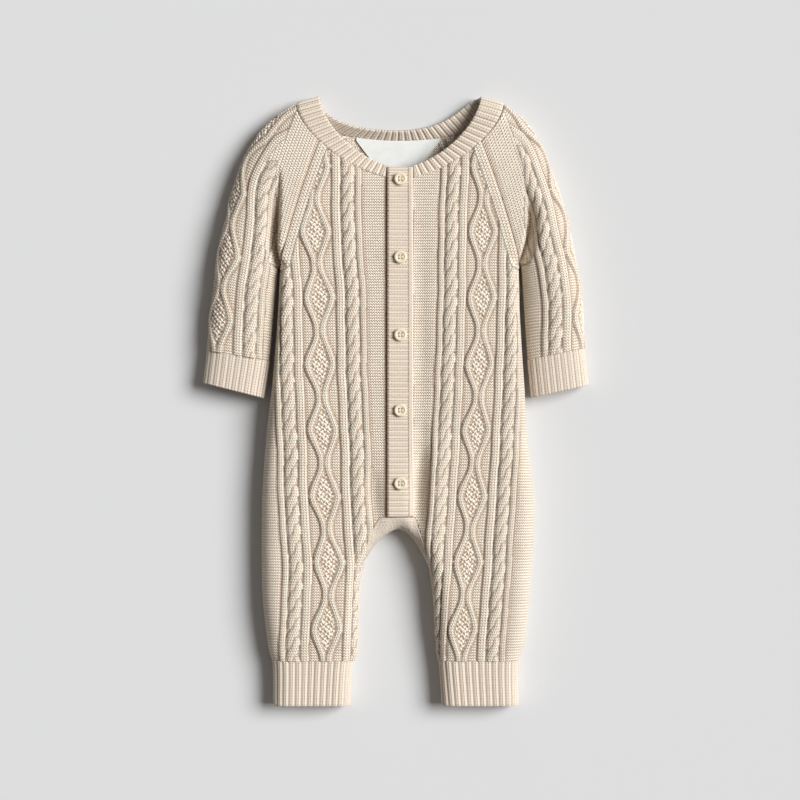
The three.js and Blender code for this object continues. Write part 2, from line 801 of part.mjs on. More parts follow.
// Gusset: a band over the crotch from leg to leg, folded from the front to the back.
const planDistance = (a, b) => Math.hypot(b[0] - a[0], b[1] - a[1]);
function evenLine(points, count) {
  const along = [0];
  for (let i = 1; i < points.length; i += 1) {
    along.push(along[i - 1] + planDistance(points[i - 1], points[i]));
  }
  const total = along[along.length - 1];
  return [...Array(count + 1).keys()].map((n) => {
    const s = (total * n) / count;
    let i = 0;
    while (i < along.length - 2 && along[i + 1] < s) i += 1;
    const t = (s - along[i]) / Math.max(along[i + 1] - along[i], 1e-9);
    return [mix(points[i][0], points[i + 1][0], t), mix(points[i][1], points[i + 1][1], t)];
  });
}
function addGusset() {
  const edgeOf = (half) => {
    const from = half.gusset[0].y + GUSSET_START;
    const heights = panelHeights(half, "front").filter((y) => y > from && y < -98);
    return [from, ...heights, -97 - SEAM_GAP].map((y) => [half.gussetX(y) - half.sign * SEAM_GAP, y]);
  };
  const [leftEdge, rightEdge] = [edgeOf(left), edgeOf(right).reverse()];
  const bridge = evenLine([leftEdge[leftEdge.length - 1], rightEdge[0]], GUSSET_TOP_STEPS).slice(1, -1);
  const edge = [...leftEdge, ...bridge, ...rightEdge];
  const isUnder = ([x, y]) => y > (x < 0 ? leftEdge[0][1] : rightEdge[rightEdge.length - 1][1]);
  const crotch = evenLine(crotchLine.filter(isUnder), edge.length - 1);
  const grid = edge.map((from, i) => {
    const row = course(bodyPlace, [
      { face: "front", planAt: straight(from, crotch[i]) },
      { face: "back", planAt: straight(crotch[i], from) },
    ]);
    const places = [0, row.turn / 2, row.turn, (row.turn + row.total) / 2, row.total];
    return places.map((at) => grown(row.at(at), 0));
  });
  const triangles = shellTriangles(grid, { keepRow: () => true, keepColumn: (k) => k === 2 });
  addPiece("crotch_gusset", weldedGeometry(triangles), CREAM_RIB);
}

// A ribbed tube between two rings of the plan, such as a cuff or a leg's hem.
function ribTube(name, place, ringAt, pitch) {
  const first = ringAt(0);
  const ribs = Math.round(course(place, first).total / pitch);
  const grid = [...Array(RIB_ROWS + 1).keys()].map((j) => {
    const row = course(place, ringAt(j / RIB_ROWS));
    return [...Array(ribs * 2).keys()].map((k) => {
      const s = (row.total * (k + 0.5)) / (ribs * 2);
      return grown(row.at(s), k % 2 ? 0 : RIB_RELIEF);
    });
  });
  const rule = { keepRow: () => false, keepColumn: (k) => k % 4 === 0, wrapped: true };
  const triangles = shellTriangles(grid, rule);
  addPiece(name, weldedGeometry(triangles), CREAM_RIB);
}

function addLegRib(name, half) {
  const ringAt = (t) => {
    const y = mix(HEM_TOP - 2 * SEAM_GAP, HEM_END, t);
    const inner = [half.inseamX(y), y];
    const outer = [half.sideX(y), y];
    return [
      { face: "front", planAt: straight(inner, outer) },
      { face: "back", planAt: straight(outer, inner) },
    ];
  };
  ribTube(name, bodyPlace, ringAt, HEM_RIB);
}

function addCuff(name, half) {
  const { cuff } = half;
  const ringAt = (t) => {
    const down = mix(0.012, 1, t);
    const inner = straight(cuff.innerTop, cuff.innerEnd)(down);
    const outer = straight(cuff.outerTop, cuff.outerEnd)(down);
    return [
      { face: "front", planAt: straight(inner, outer) },
      { face: "back", planAt: straight(outer, inner) },
    ];
  };
  ribTube(name, sleevePlace(half), ringAt, HEM_RIB);
}

// Sleeve: closed rings up to the underarm, then open courses from raglan to raglan over the shoulder fold.
function addSleeve(name, half) {
  const place = sleevePlace(half);
  const outers = [half.cuff.outerTop, ...half.sleeve.map((s) => s.outer)];
  const inners = [half.cuff.innerTop, half.sleeve[0].inner, half.sleeve[1].inner];
  const steps = 20;
  const outerLine = smoothPlan(outers, steps);
  const innerLine = smoothPlan(inners, steps);
  const last = outerLine.length - 1;
  const split = SLEEVE_SPLIT * steps;
  const along = [0];
  for (let i = 1; i <= last; i += 1) {
    along.push(along[i - 1] + planDistance(outerLine[i - 1], outerLine[i]));
  }
  const indexAt = (distance) => {
    let i = 0;
    while (i < last - 1 && along[i + 1] < distance) i += 1;
    return i + (distance - along[i]) / (along[i + 1] - along[i]);
  };
  const stations = [0, split, last];
  for (let d = ROW_STEP; d < along[last] - 3; d += ROW_STEP) {
    const i = indexAt(d);
    if (stations.every((s) => Math.abs(s - i) > 1)) stations.push(i);
  }
  stations.sort((a, b) => a - b);
  const onLine = (points, i) => {
    const a = Math.min(Math.floor(i), points.length - 2);
    return straight(points[a], points[a + 1])(i - a);
  };
  const distanceAt = (i) => {
    const a = Math.min(Math.floor(i), last - 1);
    return mix(along[a], along[a + 1], i - a);
  };
  const frontRaglan = raglanLine(half, "front");
  const grid = stations.map((i) => {
    const outer = onLine(outerLine, i);
    const closed = i <= split + 1e-6;
    const t = closed ? 1 : 1 - (i - split) / (last - split);
    const start = (face) => {
      const [x, y] = closed ? onLine(innerLine, i) : raglan(half, face, t);
      return [x + half.sign * (closed ? SEAM_GAP : HALF_GAP), y];
    };
    const nearNeck = ease(0, 9, along[last] - distanceAt(i));
    const bow = closed ? 0 : clamp(1 - t / 0.3, 0, 1) ** 2;
    const toFold = (face) => {
      const neck = face === "front" ? NECK.seamFront : NECK.seamBack;
      const toOuter = straight(start(face), outer);
      const foot = Math.abs(raglan(half, face, 0)[0]);
      return (s) => {
        const [x, y] = toOuter(s);
        const neckX = mix(foot, neck.across, s);
        const chord = mix(neckHeight(neck, foot), neck.top, s);
        return [x, y + bow * (neckHeight(neck, neckX, SEAM_GAP * Math.min(1, 6 * s)) - chord)];
      };
    };
    const front = toFold("front");
    const back = toFold("back");
    const stretches = [
      { face: "front", planAt: front },
      { face: "back", planAt: (s) => back(1 - s) },
    ];
    const row = course(place, stretches, closed);
    const middle = row.turn - half.sleeveTwist;
    const v = distanceAt(i);
    const cables = cableColumns(v);
    const offsets = [
      -78, -60, -47,
      ...[...cables].reverse().map((c) => -c),
      ...cables.slice(0, 5),
      30, 42, 56, 70, 84, 110,
    ];
    return offsets.map((u) => {
      const s = clamp(middle + u, 0, row.total);
      const spot = row.at(s);
      const onTop = s > 0.5 && s < row.turn + 12;
      const fade = i < split - steps ? 1 : seamFade(frontRaglan, spot.point.x, spot.point.y);
      return grown(spot, onTop ? cableRelief(u, v) * fade * nearNeck : 0);
    });
  });
  const rule = {
    keepRow: (j) => j % 3 === 0 || Math.abs(stations[j] - split) < 1e-6,
    keepColumn: (k) => [1, 2, 8, 12, 14].includes(k) || k > 15,
  };
  const closedTo = (j0, j1) => stations[j1] <= split + 1e-6;
  const triangles = shellTriangles(grid, { ...rule, joined: { first: closedTo, last: closedTo } });
  addPiece(name, weldedGeometry(triangles), CREAM);
}

// Strips of the button opening, one over the other.
function frontStrip(name, { from, to, liftFrom, liftTo, wall, ribTo }) {
  const bottom = GUSSET_TOP - 1.3;
  const ribs = Math.round((BAND_TOP - bottom) / BAND_RIB);
  const rows = ribTo === undefined ? 20 : ribs * 2;
  const xs = ribTo === undefined ? [from, (from + to) / 2, to] : [from, ribTo, (ribTo + to) / 2, to];
  const grid = [...Array(rows + 1).keys()].map((j) => {
    const y = mix(bottom, BAND_TOP, j / rows);
    return xs.map((x, k) => {
      const place = frontFace(bodyPlace, x, y);
      const lift = mix(liftFrom, liftTo, (x - from) / (to - from));
      const ribbed = ribTo !== undefined && (k < 2 ? j % 2 === 0 : k === 2);
      const point = place.point.clone().addScaledVector(place.normal, lift);
      return grown({ point, normal: place.normal }, ribbed ? BAND_RELIEF : 0, wall);
    });
  });
  const every = ribTo === undefined ? 1 : 12;
  const triangles = shellTriangles(grid, { keepRow: (j) => j % every === 0, keepColumn: () => false });
  addPiece(name, weldedGeometry(triangles), CREAM_RIB);
}

// Neckband: ribs from the band's left edge round the neck to its right edge.
function addNeckband() {
  const inset = (seam) => ({ ...seam, across: seam.across - SEAM_GAP, drop: seam.drop - SEAM_GAP });
  const along = (seam, rim, x0, sign, front) => {
    const start = front ? Math.asin(x0 / seam.across) : 0;
    return [...Array(61).keys()].map((i) => {
      const angle = mix(start, Math.PI / 2, i / 60);
      const share = Math.sin(angle);
      const nearBand = front ? 1 - ease(0, 0.35, (angle - start) / (Math.PI / 2 - start)) : 0;
      const rimX = mix(rim.across * share, Math.max(rim.across * share, x0), nearBand);
      const s = [sign * seam.across * share, neckHeight(seam, seam.across * share)];
      return { seam: s, rim: [sign * rimX, neckHeight(rim, rimX)], front, fold: share };
    });
  };
  const bandEdge = BAND_RIGHT + SEAM_GAP;
  const leftFront = along(inset(NECK.seamFront), NECK.rimFront, bandEdge, -1, true);
  const leftBack = along(inset(NECK.seamBack), NECK.rimBack, 0, -1, false);
  const rightBack = along(inset(NECK.seamBack), NECK.rimBack, 0, 1, false);
  const rightFront = along(inset(NECK.seamFront), NECK.rimFront, bandEdge, 1, true);
  const ring = [
    ...leftFront,
    ...leftBack.reverse().slice(1),
    ...rightBack.slice(1),
    ...rightFront.reverse().slice(1),
  ];
  const at = (station, across) => {
    const x = mix(station.seam[0], station.rim[0], across);
    const y = mix(station.seam[1], station.rim[1], across);
    const { point } = faceAt(neckPlace, station.front ? "front" : "back", x, y);
    if (!station.front) point.z = Math.max(point.z, BACK_RIM_RISE * across * (1 - station.fold ** 6));
    return point;
  };
  const lengths = [0];
  for (let i = 1; i < ring.length; i += 1) {
    lengths.push(lengths[i - 1] + at(ring[i], 0.5).distanceTo(at(ring[i - 1], 0.5)));
  }
  const total = lengths[lengths.length - 1];
  const ribs = Math.round(total / NECK_RIB);
  const stations = [...Array(ribs * 2 + 1).keys()].map((n) => {
    const s = (total * n) / (ribs * 2);
    let i = 0;
    while (i < lengths.length - 2 && lengths[i + 1] < s) i += 1;
    const t = (s - lengths[i]) / (lengths[i + 1] - lengths[i]);
    return [...Array(NECK_COLUMNS + 1).keys()].map((k) => {
      const across = k / NECK_COLUMNS;
      return at(ring[i], across).lerp(at(ring[i + 1], across), t);
    });
  });
  const halfFront = lengths[leftFront.length - 1] / total;
  const backFrom = halfFront * ribs * 2;
  const backTo = (1 - halfFront) * ribs * 2;
  const grid = stations.map((row, j) =>
    row.map((point, k) => {
      const before = stations[Math.max(j - 1, 0)][k];
      const after = stations[Math.min(j + 1, stations.length - 1)][k];
      const lower = row[Math.max(k - 1, 0)];
      const upper = row[Math.min(k + 1, NECK_COLUMNS)];
      const normal = after.clone().sub(before).cross(upper.clone().sub(lower)).normalize();
      if (k > 0) return grown({ point, normal: normal.negate() }, j % 2 ? RIB_RELIEF : 0);
      const front = j < backFrom || j > backTo;
      return grown({ ...faceAt(neckPlace, front ? "front" : "back", point.x, point.y), point }, 0);
    }),
  );
  const triangles = shellTriangles(grid, { keepRow: (j) => j % 4 === 0, keepColumn: () => true });
  addPiece("neckband", weldedGeometry(triangles), CREAM_RIB);
}

// Half-moon label on the inside of the back, under the neckband.
function addLabel() {
  const columns = 12;
  const rows = 3;
  const grid = [...Array(rows + 1).keys()].map((j) =>
    [...Array(columns + 1).keys()].map((k) => {
      const x = LABEL.across * Math.sin(mix(-Math.PI / 2, Math.PI / 2, k / columns));
      const top = neckHeight(NECK.seamBack, x + LABEL.x) - 1;
      const bottom = neckHeight(NECK.seamBack, 0) - 1 + neckHeight(LABEL, x);
      const y = mix(Math.min(bottom, top - 0.6), top, j / rows);
      const { point, normal } = backFace(bodyPlace, x + LABEL.x, y);
      const up = point.clone().addScaledVector(normal, -WALL - SEAM_GAP);
      return grown({ point: up, normal }, 0, LABEL_WALL);
    }),
  );
  const triangles = shellTriangles(grid, { keepRow: () => true, keepColumn: () => true });
  addPiece("neck_label", weldedGeometry(triangles), WHITE_TAPE);
}

// Four-hole buttons, each lying on the band.
const polygon = (x, y, radius, sides) =>
  [...Array(sides).keys()].map((i) => {
    const angle = (2 * Math.PI * i) / sides;
    return new THREE.Vector2(x + radius * Math.cos(angle), y + radius * Math.sin(angle));
  });
function addButton(name, y) {
  const disc = new THREE.Shape(polygon(0, 0, BUTTON_RADIUS, BUTTON_SIDES));
  const offsets = [-HOLE_OFFSET, HOLE_OFFSET];
  for (const hx of offsets) {
    for (const hy of offsets) {
      disc.holes.push(new THREE.Path(polygon(hx, hy, HOLE_RADIUS, HOLE_SIDES)));
    }
  }
  const geometry = new THREE.ExtrudeGeometry(disc, { depth: BUTTON_THICK, bevelEnabled: false });
  let seat = 0;
  for (let i = 0; i < 16; i += 1) {
    const angle = (i * Math.PI) / 8;
    const x = BUTTON_X + BUTTON_RADIUS * Math.cos(angle);
    const lift = mix(BAND_LIFT_LEFT, BAND_LIFT_RIGHT, (x - BAND_LEFT) / (BAND_RIGHT - BAND_LEFT));
    seat = Math.max(seat, frontFace(bodyPlace, x, y + BUTTON_RADIUS * Math.sin(angle)).point.z + lift);
  }
  geometry.translate(BUTTON_X, y, seat + BAND_RELIEF + SEAM_GAP);
  addPiece(name, geometry, HORN);
}

addFront("front_left", left);
addFront("front_right", right);
frontStrip("under_band", {
  from: BAND_LEFT + SEAM_GAP,
  to: BAND_RIGHT - 2.5,
  liftFrom: 0,
  liftTo: -1.4,
  wall: 2,
});
frontStrip("button_band", {
  from: BAND_LEFT,
  to: BAND_RIGHT - SEAM_GAP,
  liftFrom: BAND_LIFT_LEFT,
  liftTo: BAND_LIFT_RIGHT,
  wall: BAND_WALL,
  ribTo: BAND_JOIN,
});
addGusset();
addBack();
addSleeve("sleeve_left", left);
addSleeve("sleeve_right", right);
addCuff("cuff_left", left);
addCuff("cuff_right", right);
addLegRib("leg_rib_left", left);
addLegRib("leg_rib_right", right);
addNeckband();
addLabel();
BUTTON_HEIGHTS.forEach((y, i) => addButton(`button_${i + 1}`, y));

export default romper;
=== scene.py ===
import math

import bpy
import numpy as np
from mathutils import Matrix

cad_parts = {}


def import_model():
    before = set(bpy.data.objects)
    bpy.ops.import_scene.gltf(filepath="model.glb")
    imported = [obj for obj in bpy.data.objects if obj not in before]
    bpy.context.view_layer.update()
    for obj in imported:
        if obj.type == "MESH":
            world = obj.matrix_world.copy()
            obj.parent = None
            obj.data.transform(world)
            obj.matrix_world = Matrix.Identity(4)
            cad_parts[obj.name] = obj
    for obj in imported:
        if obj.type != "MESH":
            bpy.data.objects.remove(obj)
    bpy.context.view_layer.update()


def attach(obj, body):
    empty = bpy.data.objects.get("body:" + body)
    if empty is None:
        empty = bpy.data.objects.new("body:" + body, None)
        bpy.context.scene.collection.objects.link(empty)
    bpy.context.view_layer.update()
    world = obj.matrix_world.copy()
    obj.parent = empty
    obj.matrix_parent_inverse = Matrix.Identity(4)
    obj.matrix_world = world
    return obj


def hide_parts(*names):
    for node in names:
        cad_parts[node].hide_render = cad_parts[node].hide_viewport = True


# Cream cable-knit romper, lying on its back. Sizes are in millimetres, in the garment's own plan.
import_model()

MM = 0.001
CENTRE_FRONT_X = 3.2  # where the plan's x = 0 lies in the frame

# Cloth
WALL = 2.0
STITCH = 2.05  # one stitch across
ROW = 2.3  # one row along

# Where the garment lies
FOLD_LEVEL = 11.0
FLOOR_RADIUS = 9.0
SIDE_RADIUS = 14.0
INSEAM_RADIUS = 15.0
UNDERARM_RADIUS = 14.0
SLEEVE_RADIUS = 20.0
SLEEVE_INNER_RADIUS = 25.0
SLEEVE_DROP = 6.0  # how much lower a sleeve's top is at the cuff than the body's
BESIDE_SLEEVES = (-40, 20)  # y over which the side folds tighten
VALLEY_LEVELS = (7.5, 25.0)  # height of the valley between sleeve and body, at the underarm and at its top
VALLEY_CLIMB = 2.4  # power of its climb between them
STEEP_REACH = 0.26  # share of a valley's radius on its steep side
SIDE_INSET = 1.3  # room for the relief at the outline

HEM_END = -254.5
PAST_HEM = HEM_END - 8  # where the folds end, beyond the cloth
HEM_TOP = -217.0
GUSSET_TOP = -96.9
GUSSET_EDGE = -97.0
NECK_TOP = 248.0
RIM_TOP = 253.3
NECK_LIFT = 6.0  # how far the back of the neckband stands up inside the neck
BACK_RIM_POWER = 1.8  # of the back rim's right half, falling by 1 from its middle to its side

# Knit repeats
DIAMOND_REPEAT = 55.0
ROPE_PITCH = DIAMOND_REPEAT / 3.5
HEM_RIB = 5.5
NECK_RIB = 5.4
BAND_RIB = 4.5
RIB_RELIEF = 0.85
CUFF_RELIEF = 0.45
NECK_RELIEF = 1.05
BAND_RELIEF = 0.7

# Button band
BAND_LEFT, BAND_RIGHT, BAND_JOIN = -10.8, 10.8, 6.8
BAND_LIFT_LEFT, BAND_LIFT_RIGHT = 2.7, 1.2
BAND_WALL = 2.4
BAND_COLUMN = 2.1  # half width of the plain column along its join
BAND_ROLL = 0.8  # how far its edges roll under
BAND_TOP = 194.5
BAND_BOTTOM = -96.7

BUTTON_X = 0.4
BUTTON_HEIGHTS = (184.2, 119.1, 54.5, -8.1, -68.7)
BUTTON_RADIUS = 5.2
BUTTON_THICK = 2.3
BUTTON_ROUNDING = 0.75
BUTTON_GAP = 1.0  # between a button and the highest cloth under its rim
DISH_RADIUS, DISH_DEPTH, DISH_ROUNDING = 3.5, 0.45, 0.35
HOLE_RADIUS, HOLE_PLACE = 0.72, 1.3
THREAD_RADIUS, THREAD_LENGTH = 0.3, 2.7

NECK = {
    "rim_front": dict(across=67.0, drop=59.5, power=1.62, top=RIM_TOP),
    "rim_back": dict(across=67.0, drop=26.8, power=2.2, top=RIM_TOP),
    "seam_front": dict(across=86.5, drop=64.0, power=1.6, top=NECK_TOP),
    "seam_back": dict(across=86.5, drop=29.2, power=2.0, top=NECK_TOP),
}
RAGLAN_X = {"front": 67.5, "back": 65.0}
RAGLAN_BEND = {"front": (87, 166), "back": (86, 172)}

# Height of the top: rows of (y, height)
CROWN = [
    (-255, 20), (-219, 22), (-190, 24.5), (-110, 25.5), (-40, 26.5),
    (70, 26.5), (150, 24.5), (212, 21.5), (256, 18.5),
]
NECK_DIP = dict(y=222.0, depth=5.0, reach=42.0)
# Hollows in the front, each from a to b. One with a negative depth is a ridge.
TROUGHS = [
    dict(a=(-20, -108), b=(-23, -52), depth=3.4, reach=5.5),
    dict(a=(14, -122), b=(18, -26), depth=6, reach=6.5),
    dict(a=(26, -128), b=(30, -20), depth=-2.6, reach=6.5),
    dict(a=(18, -60), b=(17, 160), depth=1.4, reach=6),
    dict(a=(-90, -20), b=(-104, -75), depth=1.4, reach=11),
    dict(a=(88, 10), b=(102, -50), depth=1.2, reach=11),
]
TROUGH_END = 0.08  # a trough's end is as deep as the place at this share of its length


def clamp(v, low, high):
    return np.minimum(np.maximum(v, low), high)


def ease(low, high, v):
    t = clamp((v - low) / (high - low), 0.0, 1.0)
    return t * t * (3 - 2 * t)


def mix(a, b, t):
    return a + (b - a) * t


def table_curve(rows):
    """Smooth value over a rising key, through rows of (key, value)."""
    key, value = (np.array(c, float) for c in zip(*rows))
    last = len(key) - 1
    before, after = np.maximum(np.arange(last + 1) - 1, 0), np.minimum(np.arange(last + 1) + 1, last)
    slope = (value[after] - value[before]) / (key[after] - key[before])

    def at(v):
        v = clamp(np.asarray(v, float), key[0], key[-1])
        i = clamp(np.searchsorted(key, v, side="right") - 1, 0, last - 1).astype(int)
        span = key[i + 1] - key[i]
        t = (v - key[i]) / span
        t2, t3 = t * t, t * t * t
        return (
            (2 * t3 - 3 * t2 + 1) * value[i]
            + (t3 - 2 * t2 + t) * span * slope[i]
            + (3 * t2 - 2 * t3) * value[i + 1]
            + (t3 - t2) * span * slope[i + 1]
        )

    return at


crown_along = table_curve(CROWN)


def neck_height(neck, x):
    share = clamp(np.abs(x) / neck["across"], 0.0, 1.0)
    return neck["top"] - neck["drop"] * (1 - share ** neck["power"]) ** (1 / neck["power"])


def neck_half_width(neck, y):
    share = clamp((neck["top"] - y) / neck["drop"], 0.0, 1.0)
    return neck["across"] * (1 - share ** neck["power"]) ** (1 / neck["power"])


def length_along(points):
    """Distance of each point of a line from its first one."""
    return np.concatenate([[0], np.cumsum(np.linalg.norm(np.diff(points, axis=0), axis=1))])


def smooth_plan(points, steps=8):
    """Centripetal Catmull-Rom curve through plan points."""
    p = [np.array(q, float) for q in points]
    p = [2 * p[0] - p[1], *p, 2 * p[-1] - p[-2]]
    out = []
    for i in range(1, len(p) - 2):
        gaps = [max(np.linalg.norm(p[j + 1] - p[j]), 1e-6) ** 0.5 for j in (i - 1, i, i + 1)]
        t0, t1 = 0.0, gaps[0]
        t2, t3 = t1 + gaps[1], t1 + gaps[1] + gaps[2]
        for n in range(steps):
            t = mix(t1, t2, n / steps)
            a1 = (t1 - t) / (t1 - t0) * p[i - 1] + (t - t0) / (t1 - t0) * p[i]
            a2 = (t2 - t) / (t2 - t1) * p[i] + (t - t1) / (t2 - t1) * p[i + 1]
            a3 = (t3 - t) / (t3 - t2) * p[i + 1] + (t - t2) / (t3 - t2) * p[i + 2]
            b1 = (t2 - t) / (t2 - t0) * a1 + (t - t0) / (t2 - t0) * a2
            b2 = (t3 - t) / (t3 - t1) * a2 + (t - t1) / (t3 - t1) * a3
            out.append((t2 - t) / (t2 - t1) * b1 + (t - t1) / (t2 - t1) * b2)
    out.append(p[-2])
    return np.array(out)


def crown(x, y, drop):
    dip = (x**2 + (y - NECK_DIP["y"]) ** 2) / NECK_DIP["reach"] ** 2
    z = crown_along(y) - NECK_DIP["depth"] * np.exp(-dip) - drop
    for trough in TROUGHS:
        (ax, ay), (bx, by) = trough["a"], trough["b"]
        dx, dy = bx - ax, by - ay
        t = clamp(((x - ax) * dx + (y - ay) * dy) / (dx * dx + dy * dy), 0.0, 1.0)
        away = ((x - ax - dx * t) ** 2 + (y - ay - dy * t) ** 2) / trough["reach"] ** 2
        z = z - trough["depth"] * np.exp(-away) * np.sin(np.pi * clamp(t, TROUGH_END, 1 - TROUGH_END))
    return z


def fold(points, radius, inside, levels=(FOLD_LEVEL, FOLD_LEVEL), steep=0, tight=0.0):
    """A fold in the plan. inside is the side that the cloth lies on, or 0 for a valley in it. steep is the x
    direction in which a valley climbs faster. tight is how much smaller the radius is beside the sleeves."""
    points = np.asarray(points, float)
    return dict(points=points, radius=radius, inside=inside, levels=levels, steep=steep, tight=tight)


def nearest_on(points, inside, x, y):
    a, b = points[:-1], points[1:]
    d = b - a
    dd = (d**2).sum(1)
    t = clamp(((x[:, None] - a[:, 0]) * d[:, 0] + (y[:, None] - a[:, 1]) * d[:, 1]) / dd, 0.0, 1.0)
    qx, qy = a[:, 0] + t * d[:, 0], a[:, 1] + t * d[:, 1]
    away = (x[:, None] - qx) ** 2 + (y[:, None] - qy) ** 2
    i = away.argmin(1)
    pick = np.arange(len(x))
    t, qx, qy, distance = t[pick, i], qx[pick, i], qy[pick, i], np.sqrt(away[pick, i])
    at_end = ((i == 0) & (t == 0)) | ((i == len(a) - 1) & (t == 1))
    length = np.sqrt(dd[i])
    ix, iy = -d[i, 1] / length * inside, d[i, 0] / length * inside
    inward = (x - qx) * ix + (y - qy) * iy
    on_edge = (inside != 0) & ((distance < 0.3) | ((inward < 0) & ~at_end))
    far = np.maximum(distance, 1e-6)
    gx, gy = np.where(on_edge, ix, (x - qx) / far), np.where(on_edge, iy, (y - qy) / far)
    return np.where(on_edge, np.maximum(inward, 0.0), distance), (i + t) / len(a), gx, gy


def front_face(place, x, y):
    """Outer face of the cloth at plan places, with its outward normals."""
    step = 0.5
    drop = place["drop"]
    top = crown(x, y, drop(y))
    slope_x = (crown(x + step, y, drop(y)) - top) / step
    slope_y = (crown(x, y + step, drop(y + step)) - top) / step
    z = top.copy()
    normal = np.stack([-slope_x, -slope_y, np.ones_like(z)], -1)
    for edge in place["folds"]:
        distance, along, gx, gy = nearest_on(edge["points"], edge["inside"], x, y)
        soft = edge["inside"] == 0
        if soft:
            radius = edge["radius"] * np.where(gx * edge["steep"] > 0, STEEP_REACH, 1.0)
        else:
            radius = edge["radius"] * (1.0 - edge["tight"] * ease(*BESIDE_SLEEVES, y))
        share = clamp(distance / radius, 0.0, 1.0)
        rise = top - mix(edge["levels"][0], edge["levels"][1], along**VALLEY_CLIMB if soft else along)
        up = share * (2 - share) if soft else np.sqrt(share * (2 - share))
        low = top - rise * (1 - up)
        lean = (2 - 2 * share) * rise / radius if soft else (1 - share) * rise
        flat = np.ones_like(up) if soft else radius * up
        tilted = np.stack([-lean * gx - flat * up * slope_x, -lean * gy - flat * up * slope_y, flat], -1)
        lower = (low < z) & (share < 1)
        z = np.where(lower, low, z)
        normal = np.where(lower[:, None], tilted, normal)
    normal /= np.maximum(np.linalg.norm(normal, axis=1, keepdims=True), 1e-9)
    return np.stack([x, y, z], -1), normal


def back_face(place, x, y):
    z = np.zeros_like(x)
    normal = np.stack([z, z, z - 1], -1)
    for edge in place["folds"]:
        if edge["inside"] == 0:
            continue
        distance, _, gx, gy = nearest_on(edge["points"], edge["inside"], x, y)
        share = clamp(distance / FLOOR_RADIUS, 0.0, 1.0)
        down = np.sqrt(share * (2 - share))
        high = FOLD_LEVEL * (1 - down)
        lean = FOLD_LEVEL * (1 - share)
        tilted = np.stack([-lean * gx, -lean * gy, -FLOOR_RADIUS * down], -1)
        higher = (high > z) & (share < 1)
        z = np.where(higher, high, z)
        normal = np.where(higher[:, None], tilted, normal)
    normal /= np.maximum(np.linalg.norm(normal, axis=1, keepdims=True), 1e-9)
    return np.stack([x, y, z], -1), normal


FACES = {"front": front_face, "back": back_face}
STOPS = (1 - np.cos(np.pi * np.linspace(0, 1, 221))) / 2


def courses(place, stretches, closed=None):
    """Rows of knitting over the cloth. Each stretch is a face and its plan, and plan(t) gives x and y, rows
    by stops. closed marks the rows that run all round a tube, so that their two ends meet."""
    points, normals, plan_x = [], [], []
    turn_at = None
    for n, (face, plan) in enumerate(stretches):
        x, y = plan(STOPS[1:] if n else STOPS)
        p, q = FACES[face](place, x.ravel(), y.ravel())
        points.append(p.reshape(*x.shape, 3))
        normals.append(q.reshape(*x.shape, 3))
        plan_x.append(x)
        turn_at = turn_at if n else x.shape[1] - 1
    p, q, x = np.concatenate(points, 1), np.concatenate(normals, 1), np.concatenate(plan_x, 1)
    if closed is not None:
        shared = q[closed, 0] + q[closed, -1]
        shared[:, 2] = 0
        shared /= np.maximum(np.linalg.norm(shared, axis=1, keepdims=True), 1e-9)
        p[closed, 0, 2] = FOLD_LEVEL
        p[closed, -1] = p[closed, 0]
        q[closed, 0] = q[closed, -1] = shared
    steps = np.linalg.norm(np.diff(p, axis=1), axis=2)
    along = np.concatenate([np.zeros((len(p), 1)), np.cumsum(steps, 1)], 1)
    return dict(points=p, normals=q, x=x, along=along, total=along[:, -1], turn=along[:, turn_at])


def lay(rows, s):
    """Points and normals at distances s (rows by columns) along each course."""
    out = np.empty((*s.shape, 6))
    for r in range(len(s)):
        for c in range(3):
            out[r, :, c] = np.interp(s[r], rows["along"][r], rows["points"][r, :, c])
            out[r, :, 3 + c] = np.interp(s[r], rows["along"][r], rows["normals"][r, :, c])
    normals = out[..., 3:]
    normals = normals / np.maximum(np.linalg.norm(normals, axis=2, keepdims=True), 1e-9)
    sideways = (1 - normals[..., 2:] ** 2) * np.array([1.0, 1.0, 0.0])
    return out[..., :3] - SIDE_INSET * sideways * normals, normals


